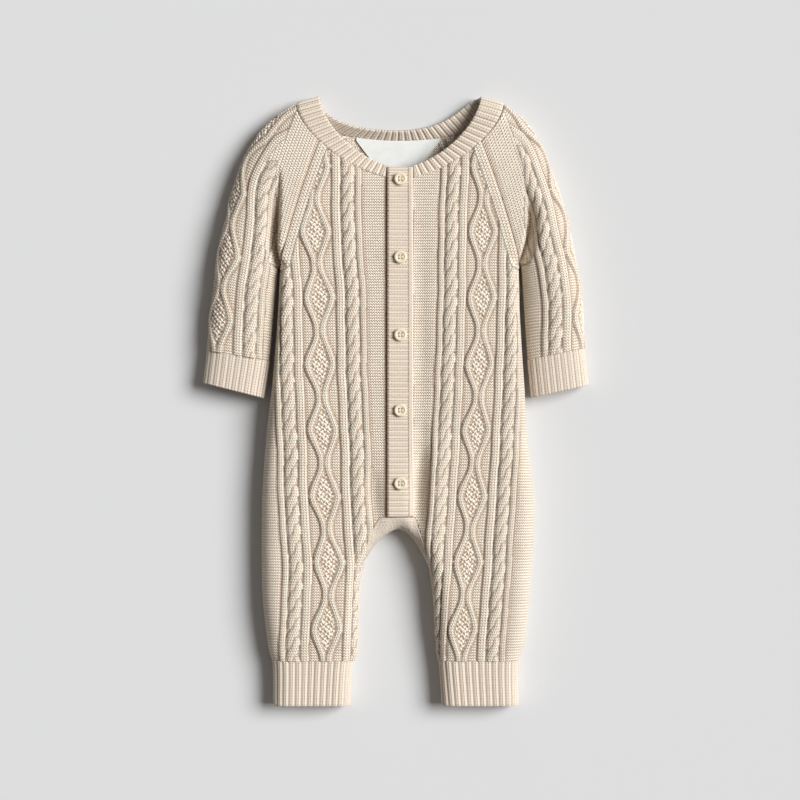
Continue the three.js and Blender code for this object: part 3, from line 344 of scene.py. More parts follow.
# Outline of each half of the garment, as in the part's own source. side, inseam, gusset and diamond, which is
# the middle of the diamonds, have rows of (y, x). The other lines are plan points (x, y). twist and climb
# turn the sleeve's pattern round the arm, gauge scales the body's pattern across, and rope_end is how far up
# the sleeve's inner rope runs.
HALVES = {
    "left": dict(
        sign=-1,
        underarm=(-100.4, 112.5),
        side=[
            (-254.5, -106.4), (-218.8, -107.2), (-212.9, -110), (-197.9, -112.5), (-172, -115.5),
            (-146, -116.7), (-95, -116.7), (-67, -115.8), (-20, -112), (15, -108), (50, -105),
            (84, -102.5), (112.5, -100.4),
        ],
        inseam=[
            (-254.5, -40.8), (-218.8, -38.9), (-210.4, -35.8), (-172, -34.4), (-147, -32.5), (-135.5, -29.2),
        ],
        crotch=[(-22.2, -124.6), (-17, -118), (-10.5, -112.5)],
        gusset=[(-135.5, -29.2), (-128, -29), (-119.6, -27.6), (-106.7, -22.7), (-97, -17.6)],
        diamond=[
            (-217, -61.3), (-189.6, -60.8), (-133.8, -59.3), (-80.4, -62.1), (-25.4, -64.2),
            (28.8, -65.8), (84.6, -67.5), (134.6, -70), (215, -72),
        ],
        valley=[(-100.4, 112.5), (-103.2, 127), (-102.6, 146), (-101.2, 167), (-100, 205)],
        cuff=dict(
            inner_top=(-107.6, 32.9), outer_top=(-162.3, 41.8),
            inner_end=(-112.6, 1.6), outer_end=(-165.5, 14.9),
        ),
        sleeve_inner=[(-103.9, 76), (-100.4, 112.5)],
        sleeve_outer=[
            (-158.6, 84), (-152.4, 128), (-146, 156), (-134.5, 194), (-114.5, 228.5), (-87.2, 247.6),
        ],
        twist=15,
        climb=12,
        gauge=1.0,
        rope_end=201,
    ),
    "right": dict(
        sign=1,
        underarm=(99.8, 114),
        side=[
            (-254.5, 99.4), (-217, 100), (-204, 105), (-184.6, 107.4), (-147, 110.4), (-95, 113.5),
            (-74, 112.5), (-49, 109.3), (-20, 106.8), (10, 105.4), (40, 103.3), (81, 101), (114, 99.8),
        ],
        inseam=[
            (-254.5, 34.2), (-218.8, 31.7), (-210.4, 31.1), (-191, 29.2), (-159.6, 26.7), (-147, 24.4),
            (-141, 22.9),
        ],
        crotch=[(20.3, -133.8), (14.5, -122.9), (8.1, -114)],
        gusset=[(-141, 22.9), (-130, 22), (-118.3, 19.2), (-107.9, 15.8), (-97, 12.6)],
        diamond=[
            (-217, 51.3), (-191, 52.2), (-138.8, 55.8), (-84.6, 60), (-33.8, 62.5),
            (25.4, 66.3), (86, 67.5), (138.8, 69), (215, 71),
        ],
        valley=[(99.8, 114), (106, 135), (108.5, 155), (104, 182)],
        cuff=dict(inner_top=(105.4, 33.8), outer_top=(155, 44), inner_end=(108.4, 2), outer_end=(158.6, 13)),
        sleeve_inner=[(102.4, 78), (99.8, 114)],
        sleeve_outer=[(152.6, 84), (145.8, 126), (137.2, 163), (126.2, 194.5), (109.5, 229), (87.2, 247.6)],
        twist=3,
        climb=4,
        gauge=0.94,
        rope_end=214,
    ),
}
CROTCH_TOP = (-0.8, -108.6)


def bezier(a, b, c, t):
    t = np.asarray(t, float)[..., None]
    return np.array(a) * (1 - t) ** 2 + 2 * np.array(b) * t * (1 - t) + np.array(c) * t * t


def raglan(half, face, t):
    """Raglan seam: t is 0 at the neck and 1 at the underarm."""
    start, sign = RAGLAN_X[face], half["sign"]
    at_neck = (sign * start, float(neck_height(NECK["seam_" + face], start)))
    bend_x, bend_y = RAGLAN_BEND[face]
    return bezier(at_neck, (sign * bend_x, bend_y), half["underarm"], t)


def beyond(a, b):
    """A point on the line from a to b, past b, so that a fold runs on beyond the cloth's edge."""
    return (mix(a[0], b[0], 1.3), mix(a[1], b[1], 1.3))


for half in HALVES.values():
    for key in ("side", "inseam", "gusset", "diamond"):
        half[key + "_x"] = table_curve(half[key])
    ys = np.linspace(PAST_HEM, half["underarm"][1], 61)
    half["side_line"] = np.stack([half["side_x"](ys), ys], 1)
    for face in ("front", "back"):
        half["raglan_" + face] = raglan(half, face, np.linspace(0, 1, 200))
    for edge in ("outer", "inner"):
        top, end = half["cuff"][edge + "_top"], half["cuff"][edge + "_end"]
        line = [beyond(top, end), end, top, *half["sleeve_" + edge]]
        if edge == "outer":
            line.append((half["sign"] * NECK["rim_front"]["across"], RIM_TOP + 0.4))
        half[edge + "_fold"] = smooth_plan(line)
    half["valley_fold"] = fold(
        smooth_plan(half["valley"]), UNDERARM_RADIUS, 0, VALLEY_LEVELS, steep=-half["sign"]
    )
LEFT, RIGHT = HALVES["left"], HALVES["right"]


def inseam_line(half):
    return [(x, y) for y, x in half["inseam"]]


crotch_line = smooth_plan(
    [
        (LEFT["inseam"][0][1], PAST_HEM),
        *inseam_line(LEFT),
        *LEFT["crotch"],
        CROTCH_TOP,
        *RIGHT["crotch"][::-1],
        *inseam_line(RIGHT)[::-1],
        (RIGHT["inseam"][0][1], PAST_HEM),
    ]
)
body_place = dict(
    drop=lambda y: 0.0,
    folds=[
        fold(LEFT["side_line"], SIDE_RADIUS, -1, tight=0.4),
        fold(RIGHT["side_line"], SIDE_RADIUS, 1, tight=0.2),
        fold(crotch_line, INSEAM_RADIUS, 1),
        LEFT["valley_fold"],
        RIGHT["valley_fold"],
    ],
)


def sleeve_place(half):
    outside = half["sign"]
    return dict(
        drop=lambda y: SLEEVE_DROP * (1 - ease(10, half["underarm"][1], y)),
        folds=[
            fold(half["outer_fold"], SLEEVE_RADIUS, outside),
            fold(half["inner_fold"], SLEEVE_INNER_RADIUS, -outside),
            half["valley_fold"],
        ],
    )


neck_place = dict(drop=lambda y: 0.0, folds=[sleeve_place(LEFT)["folds"][0], sleeve_place(RIGHT)["folds"][0]])

# Knitting. Every pattern gives its relief, its kind of stitch, how much painted shade it gets in creases and
# grooves (0 to 1), and its stitch coordinates. u is across and grows to the viewer's right, v is along.
SWAYS = ((0.45, 19.0, 1.3), (0.22, 7.3, 0.0))  # how far a column leans, over what length, and from where
ROPE_MIDDLE, ROPE_HALF = 27.55, 5.7
ROPE_TURN, ROPE_PINCH = 2.3, 1.1  # how far its strands swing, and how far it draws in where they cross
ROPE_STRAND, ROPE_SWELL = 3.35, 1.2  # half width of a strand, and what it gains where they cross
ROPE_BASE, ROPE_HEIGHT, ROPE_TILT = 0.45, 1.35, 0.45
CROSSING = 0.26  # the line between two strands is sunk and given painted shade where their heights differ by less than this
COLUMN_HEIGHT = 1.05
GROOVE_WIDTH, GROOVE_DEPTH = 0.85, 0.5
STRAND_BASE, STRAND_HEIGHT = 0.2, 1.3
MOSS_HEIGHT, SEED_HEIGHT = 0.6, 0.7
PLAIN_HEIGHT = 0.9
COLUMNS = ((17.65, 3.75), (36.35, 2.7))
GROOVES = {13.6: 0.7, 21.65: 0.0, 33.45: 0.0, 39.3: 0.7}  # place, and how much painted shade it gets
DIAMOND_WAIST, DIAMOND_WIDE = 5.2, 13.3  # half widths over both strands
MOSS_WIDE, MOSS_FROM = 7.9, 5.5  # half width of the moss, and how far from a crossing it starts
SEED_ACROSS, SEED_ALONG = 2.3, 2.0
RAGLAN_STITCH = 2.7
# How far from the raglan the plain knit beside it starts to give way, and where the pattern is whole
FRONT_PLAIN, SLEEVE_PLAIN = (7.0, 10.0), (9.0, 12.5)
SHOULDER_PLAIN, SHOULDER = 14.0, (135, 203)  # how much wider it gets up the shoulder, and over which y
PURL, KNIT, MOSS = 0.0, 1.0, 2.0


def dome(x, half):
    return np.sqrt(np.maximum(1 - (x / half) ** 2, 0.0))


def bell(x, width):
    return np.exp(-((x / width) ** 2))


def knit(u, v):
    """The pattern of fronts, back and sleeves, from the middle of its diamonds outwards."""
    u = u + sum(far * np.sin(v / length + start) for far, length, start in SWAYS)
    relief, kind, across = np.zeros_like(u), np.full_like(u, PURL), u / STITCH
    away = np.abs(u)
    # Ropes: two strands turning round each other, pinched in where they cross
    w = (away - ROPE_MIDDLE) * np.sign(u)
    turn = np.pi * v / ROPE_PITCH
    tops, sides = [], []
    for start in (0.0, np.pi):
        x = w + ROPE_TURN * np.cos(turn + start)
        half = ROPE_STRAND + ROPE_SWELL * np.sin(turn) ** 2
        tops.append(ROPE_BASE + ROPE_HEIGHT * dome(x, half) ** 0.9 + ROPE_TILT * np.sin(turn + start))
        sides.append(x)
    rope = away - ROPE_MIDDLE
    edge = ROPE_HALF - ROPE_PINCH * (1 - np.abs(np.cos(turn))) ** 1.3
    in_rope = np.abs(rope) < edge
    first = tops[0] >= tops[1]
    between = bell(tops[0] - tops[1], CROSSING) * (np.abs(rope) < edge - 0.5)
    top = np.where(first, tops[0], tops[1]) - 1.0 * between
    relief = np.where(in_rope, np.maximum(top, 0.3) * dome(rope, edge) ** 0.55, relief)
    kind = np.where(in_rope, KNIT, kind)
    beside = np.abs(rope) - edge
    # Painted shade: a dotted dark line beside each rope, and a dark line between its strands where they cross
    dotted = 0.72 + 0.28 * np.cos(2 * np.pi * v / ROW)
    painted_edge_shade = np.where(beside < 2.2, bell(beside - 0.4, 0.5) * dotted, 0.0)
    painted_shade = 0.9 * np.where(in_rope, between, painted_edge_shade)
    across = np.where(in_rope, np.where(first, sides[0], sides[1]) / STITCH, across)
    # Straight columns either side of each rope
    for middle, half in COLUMNS:
        x = away - middle
        on = np.abs(x) < half
        relief = np.where(on, COLUMN_HEIGHT * (1 - np.abs(x / half) ** 5), relief)
        kind = np.where(on, KNIT, kind)
        across = np.where(on, x / (half * 2 / 3) + 0.5, across)
    # Each groove is sunk and given painted shade
    for groove, dark in GROOVES.items():
        deep = bell(away - groove, GROOVE_WIDTH)
        relief = relief - GROOVE_DEPTH * deep
        painted_shade = np.maximum(painted_shade, dark * deep)
    # Moss stitch inside each diamond
    node = np.round(v / DIAMOND_REPEAT)
    from_node = v - node * DIAMOND_REPEAT
    wave = 0.5 - 0.5 * np.cos(2 * np.pi * v / DIAMOND_REPEAT)
    outer = DIAMOND_WAIST + (DIAMOND_WIDE - DIAMOND_WAIST) * wave**1.1
    reach = DIAMOND_REPEAT / 2 - MOSS_FROM
    inner = MOSS_WIDE * clamp((np.abs(from_node) - MOSS_FROM) / reach, 0, 1) ** 0.85
    in_panel = away < DIAMOND_WIDE + 0.1
    seed_u = u / SEED_ACROSS + 0.3 * np.sin(v * 1.1 + 0.7 * u)
    seed_v = v / SEED_ALONG + 0.28 * np.sin(u * 1.5 - 0.4 * v)
    seeds = np.sin(np.pi * seed_u) * np.sin(np.pi * seed_v)
    in_moss = away < inner
    relief = np.where(in_moss, MOSS_HEIGHT + SEED_HEIGHT * seeds, relief)
    across = np.where(in_moss, seed_u * SEED_ACROSS / STITCH, across)
    along = np.where(in_moss, seed_v * SEED_ALONG / ROW, v / ROW)
    kind = np.where(in_moss, MOSS, kind)
    # Diamond strands, side by side at each waist
    swing = (outer + inner) / 2
    half = (outer - inner) / 2
    waist = STRAND_HEIGHT * bell(from_node, 3.5) * dome(u, outer) ** 0.6
    for side_of in (-1.0, 1.0):
        x = u - side_of * swing
        h = STRAND_BASE + np.maximum(STRAND_HEIGHT * dome(x, half), waist)
        on = (np.abs(x) < half) & in_panel
        # Painted shade beside each strand, stronger outside the diamond
        edge = np.where(in_panel & ~on, bell(np.abs(x) - half - 0.5, 0.9), 0.0)
        outside = np.where(away > outer, 0.8, 0.5)
        relief = np.where(on, h, relief - 0.35 * edge * outside)
        painted_shade = np.where(on, 0.0, np.maximum(painted_shade, edge * outside))
        kind = np.where(on, KNIT, kind)
        across = np.where(on, x / STITCH, across)
    return relief, kind, painted_shade, across, along


def ribs(s, v, pitch, relief=RIB_RELIEF, broad=0.43, depth=0.6):
    """Ribs: broad raised knit ridges with narrow sunk grooves between them, and painted shade in the grooves,
    as strong as depth.
    """
    phase = s / pitch
    x = phase - np.floor(phase) - 0.5
    ridge = np.abs(x) / broad
    high = np.where(ridge < 1, 1 - ridge**5, 0.0)
    painted_shade = depth * bell(np.abs(x) - 0.5, (0.5 - broad) * 0.9)
    return relief * high, np.full_like(s, KNIT), painted_shade, x * 2, v / ROW


# Mesh building
def select_only(obj):
    bpy.ops.object.select_all(action="DESELECT")
    bpy.context.view_layer.objects.active = obj
    obj.select_set(True)


def apply_all(obj):
    select_only(obj)
    for modifier in list(obj.modifiers):
        bpy.ops.object.modifier_apply(modifier=modifier.name)


def finish_piece(obj, name, nodes, material):
    obj.name = obj.data.name = name
    obj.data.materials.clear()
    obj.data.materials.append(material)
    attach(obj, "root")
    if nodes:
        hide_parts(*nodes)
    return obj


def world(points):
    """Metres in the frame, from millimetres in the plan."""
    return (points + np.array([CENTRE_FRONT_X, 0, 0])) * MM


def cloth(name, outer, inner, pattern, material, nodes=None):
    """A closed wall: a grid on the outer points, thickened, with its inner layer laid on the inner points."""
    rows, columns = outer.shape[:2]
    bpy.ops.object.select_all(action="DESELECT")
    bpy.ops.mesh.primitive_grid_add(x_subdivisions=columns - 1, y_subdivisions=rows - 1, size=1)
    obj = bpy.context.object
    mesh = obj.data
    assert len(mesh.vertices) == rows * columns
    flat_outer, flat_inner = world(outer.reshape(-1, 3)), world(inner.reshape(-1, 3))
    mesh.vertices.foreach_set("co", flat_outer.ravel())
    at = mesh.attributes.new("at", "INT", "POINT")
    at.data.foreach_set("value", np.arange(rows * columns, dtype=np.int32))
    kind, painted_shade, across, along = pattern
    stitch = np.stack([across, along], -1)
    for label, values in (("kind", kind), ("painted_shade", painted_shade)):
        layer = mesh.attributes.new(label, "FLOAT", "POINT")
        layer.data.foreach_set("value", values.ravel().astype(np.float32))
    corners = np.empty(len(mesh.loops), dtype=np.int32)
    mesh.loops.foreach_get("vertex_index", corners)
    mesh.uv_layers[0].name = "Stitches"
    mesh.uv_layers[0].data.foreach_set("uv", stitch.reshape(-1, 2)[corners].ravel().astype(np.float32))
    mesh.update()
    # A few of the normals tell whether the grid faces outwards
    sample = slice(None, None, max(columns // 3, 1))
    facing = np.empty(len(mesh.vertices) * 3)
    mesh.vertices.foreach_get("normal", facing)
    if (facing.reshape(-1, 3)[sample] * (flat_outer - flat_inner)[sample]).sum() < 0:
        mesh.flip_normals()
    select_only(obj)
    bpy.ops.object.mode_set(mode="EDIT")
    bpy.ops.mesh.select_all(action="SELECT")
    bpy.ops.mesh.remove_doubles(threshold=2e-5)
    bpy.ops.object.mode_set(mode="OBJECT")
    single = len(mesh.vertices)
    wall = obj.modifiers.new("Wall", "SOLIDIFY")
    wall.thickness = WALL * MM
    wall.offset = -1
    apply_all(obj)
    mesh = obj.data
    index = np.empty(len(mesh.vertices), dtype=np.int32)
    mesh.attributes["at"].data.foreach_get("value", index)
    place = flat_outer[index]
    place[single:] = flat_inner[index[single:]]
    mesh.vertices.foreach_set("co", place.ravel())
    mesh.attributes.remove(mesh.attributes["at"])
    mesh.update()
    bpy.ops.object.shade_smooth()
    return finish_piece(obj, name, nodes or [name], material)


def declare(obj, base):
    """Prints the flat cut of a cloth piece's base grid: its width, length and area."""
    across = np.linalg.norm(np.diff(base, axis=1), axis=2)
    along = np.linalg.norm(np.diff(base, axis=0), axis=2)
    width, length = across.sum(1).max(), along.sum(0).max()
    a, b, c, d = base[:-1, :-1], base[:-1, 1:], base[1:, 1:], base[1:, :-1]
    triangles = (np.cross(b - a, c - a), np.cross(c - a, d - a))
    area = sum(np.linalg.norm(t, axis=2) for t in triangles).sum() / 2
    width, length, area = width * MM, length * MM, area * MM * MM
    area = min(area, width * length)
    print(f"CUT {obj.name}: {width * 1000:.0f} x {length * 1000:.0f} mm, area {area * 1e4:.0f} cm2")


# Materials
class Value:
    """A shader number with ordinary arithmetic."""

    def __init__(self, graph, socket):
        self.graph, self.socket = graph, socket

    def _math(self, operation, *values):
        node = self.graph.node("ShaderNodeMath", {"operation": operation})
        for slot, value in zip(node.inputs, values):
            self.graph.set(slot, value)
        return Value(self.graph, node.outputs[0])

    def __add__(self, other):
        return self._math("ADD", self, other)

    def __radd__(self, other):
        return self._math("ADD", other, self)

    def __sub__(self, other):
        return self._math("SUBTRACT", self, other)

    def __rsub__(self, other):
        return self._math("SUBTRACT", other, self)

    def __mul__(self, other):
        return self._math("MULTIPLY", self, other)

    def __rmul__(self, other):
        return self._math("MULTIPLY", other, self)

    def __truediv__(self, other):
        return self._math("DIVIDE", self, other)

    def frac(self):
        return self._math("FRACT", self)

    def abs(self):
        return self._math("ABSOLUTE", self)

    def sin(self):
        return self._math("SINE", self)

    def cos(self):
        return self._math("COSINE", self)

    def exp(self):
        return self._math("EXPONENT", self)

    def clamped(self):
        return self._math("MINIMUM", self._math("MAXIMUM", self, 0.0), 1.0)

    def mix(self, other, share):
        return self + (other - self) * share


class Graph:
    """A material's node tree."""

    def __init__(self, name):
        self.material = bpy.data.materials.new(name)
        self.material.use_nodes = True
        self.tree = self.material.node_tree
        self.shader = self.tree.nodes["Principled BSDF"]

    def set(self, socket, value):
        if isinstance(value, Value):
            self.tree.links.new(value.socket, socket)
        elif isinstance(value, bpy.types.NodeSocket):
            self.tree.links.new(value, socket)
        else:
            socket.default_value = value

    def feed(self, node, inputs):
        for key, value in inputs.items():
            self.set(node.inputs[key.replace("_", " ")], value)

    def node(self, kind, settings=None, **inputs):
        node = self.tree.nodes.new(kind)
        for key, value in (settings or {}).items():
            setattr(node, key, value)
        self.feed(node, inputs)
        return node

    def surface(self, **inputs):
        self.feed(self.shader, inputs)
        return self.material

    def value(self, socket):
        return Value(self, socket)

    def colour_mix(self, share, a, b):
        node = self.node("ShaderNodeMix", {"data_type": "RGBA"})
        self.set(node.inputs[0], share)
        self.set(node.inputs[6], a)
        self.set(node.inputs[7], b)
        return node.outputs[2]

    def noise(self, place, scale, **inputs):
        return self.value(self.node("ShaderNodeTexNoise", Vector=place, Scale=scale, **inputs).outputs["Fac"])

    def attribute(self, name):
        return self.value(self.node("ShaderNodeAttribute", {"attribute_name": name}).outputs["Fac"])

    def place(self):
        return self.node("ShaderNodeTexCoord").outputs["Object"]


def rgb(r, g, b):
    """Linear colour from sRGB 0 to 255."""
    linear = [((c / 255 + 0.055) / 1.055) ** 2.4 for c in (r, g, b)]
    return (*linear, 1.0)


# Painted shade: a warm brown mixed into the cloth's colour in creases, grooves, seams and beside raised
# cables, where shade falls
PAINTED_SHADE_COLOUR = (180, 134, 93)
PAINTED_SHADE_SHARE = 0.8
STITCH_SLANT = 0.9  # rows that a stitch's leg climbs for one stitch across
PURL_WAVE = 0.2  # how far a purl ridge waves, in rows
LOOSE_ROWS = 0.3  # how far rows wander from an even course


def knit_material(name, light, dark, depth, rows):
    """Cotton knit: V stitches on knit columns, wavy ridges on purl ground and seeds in moss stitch, with
    painted shade in the gaps between stitches and in creases, grooves and seams. light is the colour on the
    stitches and dark the painted shade between them, depth is how deep a stitch is, and rows is how clearly
    one row parts from the next."""
    g = Graph(name)
    stitches = g.node("ShaderNodeUVMap", {"uv_map": "Stitches"})
    split = g.node("ShaderNodeSeparateXYZ", Vector=stitches.outputs[0])
    u, v = g.value(split.outputs[0]), g.value(split.outputs[1])
    kind, painted_shade = g.attribute("kind"), g.attribute("painted_shade")
    place = g.place()
    uneven = g.noise(place, 420.0, Detail=2.0)
    fibre = g.noise(place, 2600.0, Detail=3.0)
    broad = g.noise(place, 45.0, Detail=2.0)
    row = v + (uneven - 0.5) * LOOSE_ROWS
    side = (u.frac() - 0.5).abs()
    leg = ((row + side * STITCH_SLANT) * 2 * math.pi).cos() * -0.5 + 0.5
    between_legs = (side * -9.0).exp()
    between_wales = ((side - 0.5) * 9.0).exp()
    knitted = (leg * rows + (1.0 - rows) - between_legs * 0.3 - between_wales * (1.5 - leg)).clamped()
    purled = ((row + (u * 2 * math.pi).sin() * PURL_WAVE) * 2 * math.pi).cos() * -0.5 + 0.5
    purled = purled * ((u * math.pi).sin().abs() * 0.45 + 0.55)
    seed_u, seed_v = u * (math.pi * STITCH / SEED_ACROSS), v * (math.pi * ROW / SEED_ALONG)
    seeds = ((seed_u.sin() * seed_v.sin()) * 0.65 + 0.35).clamped()
    plain = purled.mix(knitted, kind.clamped())
    stitch = plain.mix(seeds, (kind - 1.0).clamped())
    height = stitch * 0.85 + fibre * 0.15
    bump = g.node("ShaderNodeBump", Strength=1.0, Distance=depth * MM, Height=height)
    gap = 1.0 - stitch
    # Darker in the gaps between stitches: painted shade. The noises vary the tone at random.
    tone = 1.1 - gap * gap * 0.85 + (fibre - 0.5) * 0.35 + (uneven - 0.5) * 0.4 + (broad - 0.5) * 0.2
    colour = g.colour_mix(tone.clamped(), rgb(*dark), rgb(*light))
    # Painted shade mixed in where creases, grooves and seams lie
    with_painted_shade = g.colour_mix((painted_shade * PAINTED_SHADE_SHARE).clamped(), colour, rgb(*PAINTED_SHADE_COLOUR))
    return g.surface(
        Base_Color=with_painted_shade, Normal=bump.outputs[0], Roughness=0.92,
        Sheen_Weight=0.25, Sheen_Roughness=0.5, Specular_IOR_Level=0.2,
    )


# Painted shade: the dark colour in the gaps between stitches, where shade falls
PAINTED_GAP_SHADE = (150, 106, 68)
knit_cloth = knit_material("Cream cable knit", (255, 245, 227), PAINTED_GAP_SHADE, depth=0.75, rows=0.65)
rib_cloth = knit_material("Cream rib knit", (231, 218, 201), PAINTED_GAP_SHADE, depth=0.5, rows=0.25)
WEAVE = 0.5 * MM


def tape_material():
    g = Graph("White cotton tape")
    place = g.place()
    split = g.node("ShaderNodeSeparateXYZ", Vector=place)
    x, y = g.value(split.outputs[0]), g.value(split.outputs[1])
    weave = (x * 2 * math.pi / WEAVE).sin() * (y * 2 * math.pi / WEAVE).sin() * 0.5 + 0.5
    soft = g.noise(place, 160.0)
    colour = g.colour_mix(soft, rgb(222, 224, 220), rgb(240, 241, 238))
    bump = g.node("ShaderNodeBump", Strength=0.5, Distance=0.08 * MM, Height=weave + soft * 0.5)
    return g.surface(Base_Color=colour, Normal=bump.outputs[0], Roughness=0.7)


def button_material():
    g = Graph("Ivory resin")
    cloud = g.noise(g.place(), 300.0, Detail=4.0)
    colour = g.colour_mix(cloud, rgb(226, 211, 182), rgb(244, 234, 210))
    return g.surface(Base_Color=colour, Roughness=cloud * 0.15 + 0.32)


def thread_material():
    g = Graph("Cream sewing thread")
    twist = g.noise(g.place(), 3000.0)
    colour = g.colour_mix(twist, rgb(196, 176, 146), rgb(232, 218, 196))
    bump = g.node("ShaderNodeBump", Strength=0.6, Distance=0.1 * MM, Height=twist)
    return g.surface(Base_Color=colour, Normal=bump.outputs[0], Roughness=0.85)


tape, ivory, thread = tape_material(), button_material(), thread_material()


# Floor
FLOOR_GREY = 0.685
bpy.ops.object.select_all(action="DESELECT")
bpy.ops.mesh.primitive_plane_add(size=6, location=(0, 0, -0.0002))
floor = bpy.context.object
floor.name = "floor"
pale = Graph("Pale floor").surface(Base_Color=(FLOOR_GREY, FLOOR_GREY, FLOOR_GREY, 1), Roughness=0.9)
floor.data.materials.append(pale)


# Body panels
def straight(x0, y0, x1, y1):
    """Plan of straight courses, one a row."""
    x0, y0, x1, y1 = (np.asarray(v, float)[:, None] for v in (x0, y0, x1, y1))
    return lambda t: (mix(x0, x1, t), mix(y0, y1, t))


def panel_heights(half, face, step):
    """Heights of a panel's courses: one on each corner of its outline, and closer ones along the neck."""
    neck = NECK["seam_" + face]
    start = BAND_RIGHT if face == "front" else 0.0
    neck_rows = neck_height(neck, np.linspace(start, RAGLAN_X[face], 27))
    fixed = [HEM_TOP, half["gusset"][0][0], GUSSET_EDGE, GUSSET_TOP, half["underarm"][1]]
    even = np.arange(HEM_TOP + step, neck_rows[0] - 0.5, step)
    clear = [y for y in even if min(abs(y - f) for f in fixed) > 0.4 * step]
    return np.array(sorted([*fixed, *clear, *neck_rows]))


def panel_inner_x(half, face, y):
    sign, neck = half["sign"], NECK["seam_" + face]
    middle = sign * BAND_RIGHT if face == "front" else 0.0
    bottom = neck_height(neck, middle)
    x = np.where(y <= bottom, middle, sign * neck_half_width(neck, y))
    x = np.where(y < GUSSET_TOP, half["gusset_x"](y), x)
    return np.where(y <= half["gusset"][0][0], half["inseam_x"](y), x)


def panel_outer_x(half, face, y):
    line = half["raglan_" + face][::-1]
    return np.where(y <= half["underarm"][1], half["side_x"](y), np.interp(y, line[:, 1], line[:, 0]))


def seam_distance(line, points):
    flat = points.reshape(-1, points.shape[-1])
    out = np.empty(len(flat))
    for i in range(0, len(flat), 20000):
        part = flat[i : i + 20000]
        out[i : i + 20000] = nearest_on(line[::8], 0, part[:, 0], part[:, 1])[0]
    return out.reshape(points.shape[:-1])


def column_places(fine, coarse):
    """Places across the pattern: fine over the cables, coarse beyond them, and at each groove."""
    half = [0.0]
    for a, b in zip((0.0, *GROOVES), GROOVES):
        half += list(np.linspace(a, b, max(round((b - a) / fine), 2) + 1)[1:])
    half += list(np.arange(half[-1] + 1.2, 84, coarse))
    half = np.array(half)
    return np.concatenate([-half[:0:-1], half])


def on_columns(rows, middle, offsets):
    """Distances along each course that keep grid lines on the pattern, and their places in it."""
    s = clamp(middle[:, None] + offsets[None, :], 0.0, rows["total"][:, None])
    return s, s - middle[:, None]


def body_panel(half, face, step, offsets):
    y = panel_heights(half, face, step)
    inner = panel_inner_x(half, face, y)
    outer = panel_outer_x(half, face, y)
    outer[-1] = inner[-1]
    rows = courses(body_place, [(face, straight(inner, y, outer, y))])
    diamond = half["diamond_x"](y)
    order = half["sign"]
    by_row = zip(diamond, rows["x"], rows["along"])
    middle = np.array([np.interp(order * d, order * x, a) for d, x, a in by_row])
    s, u = on_columns(rows, middle, offsets * half["gauge"])
    points, normals = lay(rows, s)
    u = u / half["gauge"]
    v = np.broadcast_to((y - HEM_TOP)[:, None], u.shape)
    return points, normals, u, v


def by_raglan(pattern, fade_at, along, near, far, away=None):
    """Plain knit beside a raglan seam, its stitches in line with the seam."""
    relief, kind, painted_shade, across, courses_v = pattern
    away = fade_at if away is None else away
    fade = ease(near, far, fade_at)
    plain = fade < 0.5
    seam = bell(away, 1.1)
    relief = mix(PLAIN_HEIGHT - 0.7 * seam, relief, fade)
    # Painted shade along the sunk seam
    painted_shade = np.maximum(painted_shade * fade, 0.35 * seam)
    kind = np.where(plain, KNIT, kind)
    across = np.where(plain, away / RAGLAN_STITCH, across)
    return relief, kind, painted_shade, across, np.where(plain, along / RAGLAN_STITCH, courses_v)


def resting(normals):
    """1 on cloth that faces up or sideways, falling to 0 on the floor, where no relief has room."""
    return clamp(1 + 1.3 * normals[..., 2], 0, 1)


def grown(points, normals, height):
    return points + normals * np.broadcast_to(height, points.shape[:-1])[..., None]


FINE = column_places(0.86, 2.0)
MEDIUM = column_places(2.1, 4.0)


def front(name, half):
    points, normals, u, v = body_panel(half, "front", 1.17, FINE)
    away = seam_distance(half["raglan_front"], points)
    relief, kind, painted_shade, *stitches = by_raglan(knit(u * half["sign"], v), away, v * 1.06, *FRONT_PLAIN)
    # Painted shadow of the button band on the left front, beside the band's free edge
    if half is LEFT:
        painted_shade = np.maximum(painted_shade, bell(points[..., 0] - BAND_LEFT, 1.8))
    outer = grown(points, normals, relief)
    inner = grown(points, normals, -WALL)
    declare(cloth(name, outer, inner, (kind, painted_shade, *stitches), knit_cloth), points)


def back(name, half):
    """One half of the back, its pattern pressed into the cloth, since it lies flat on the floor."""
    points, normals, u, v = body_panel(half, "back", 2.4, MEDIUM)
    relief, *pattern = knit(-u * half["sign"], v)
    outer = grown(points, normals, np.minimum(relief - 1.2, 0.0) * 0.35)
    inner = grown(points, normals, -WALL)
    declare(cloth(name, outer, inner, pattern, knit_cloth, ["back"]), points)


front("front_left", LEFT)
front("front_right", RIGHT)
back("back", LEFT)
back("back_other_half", RIGHT)


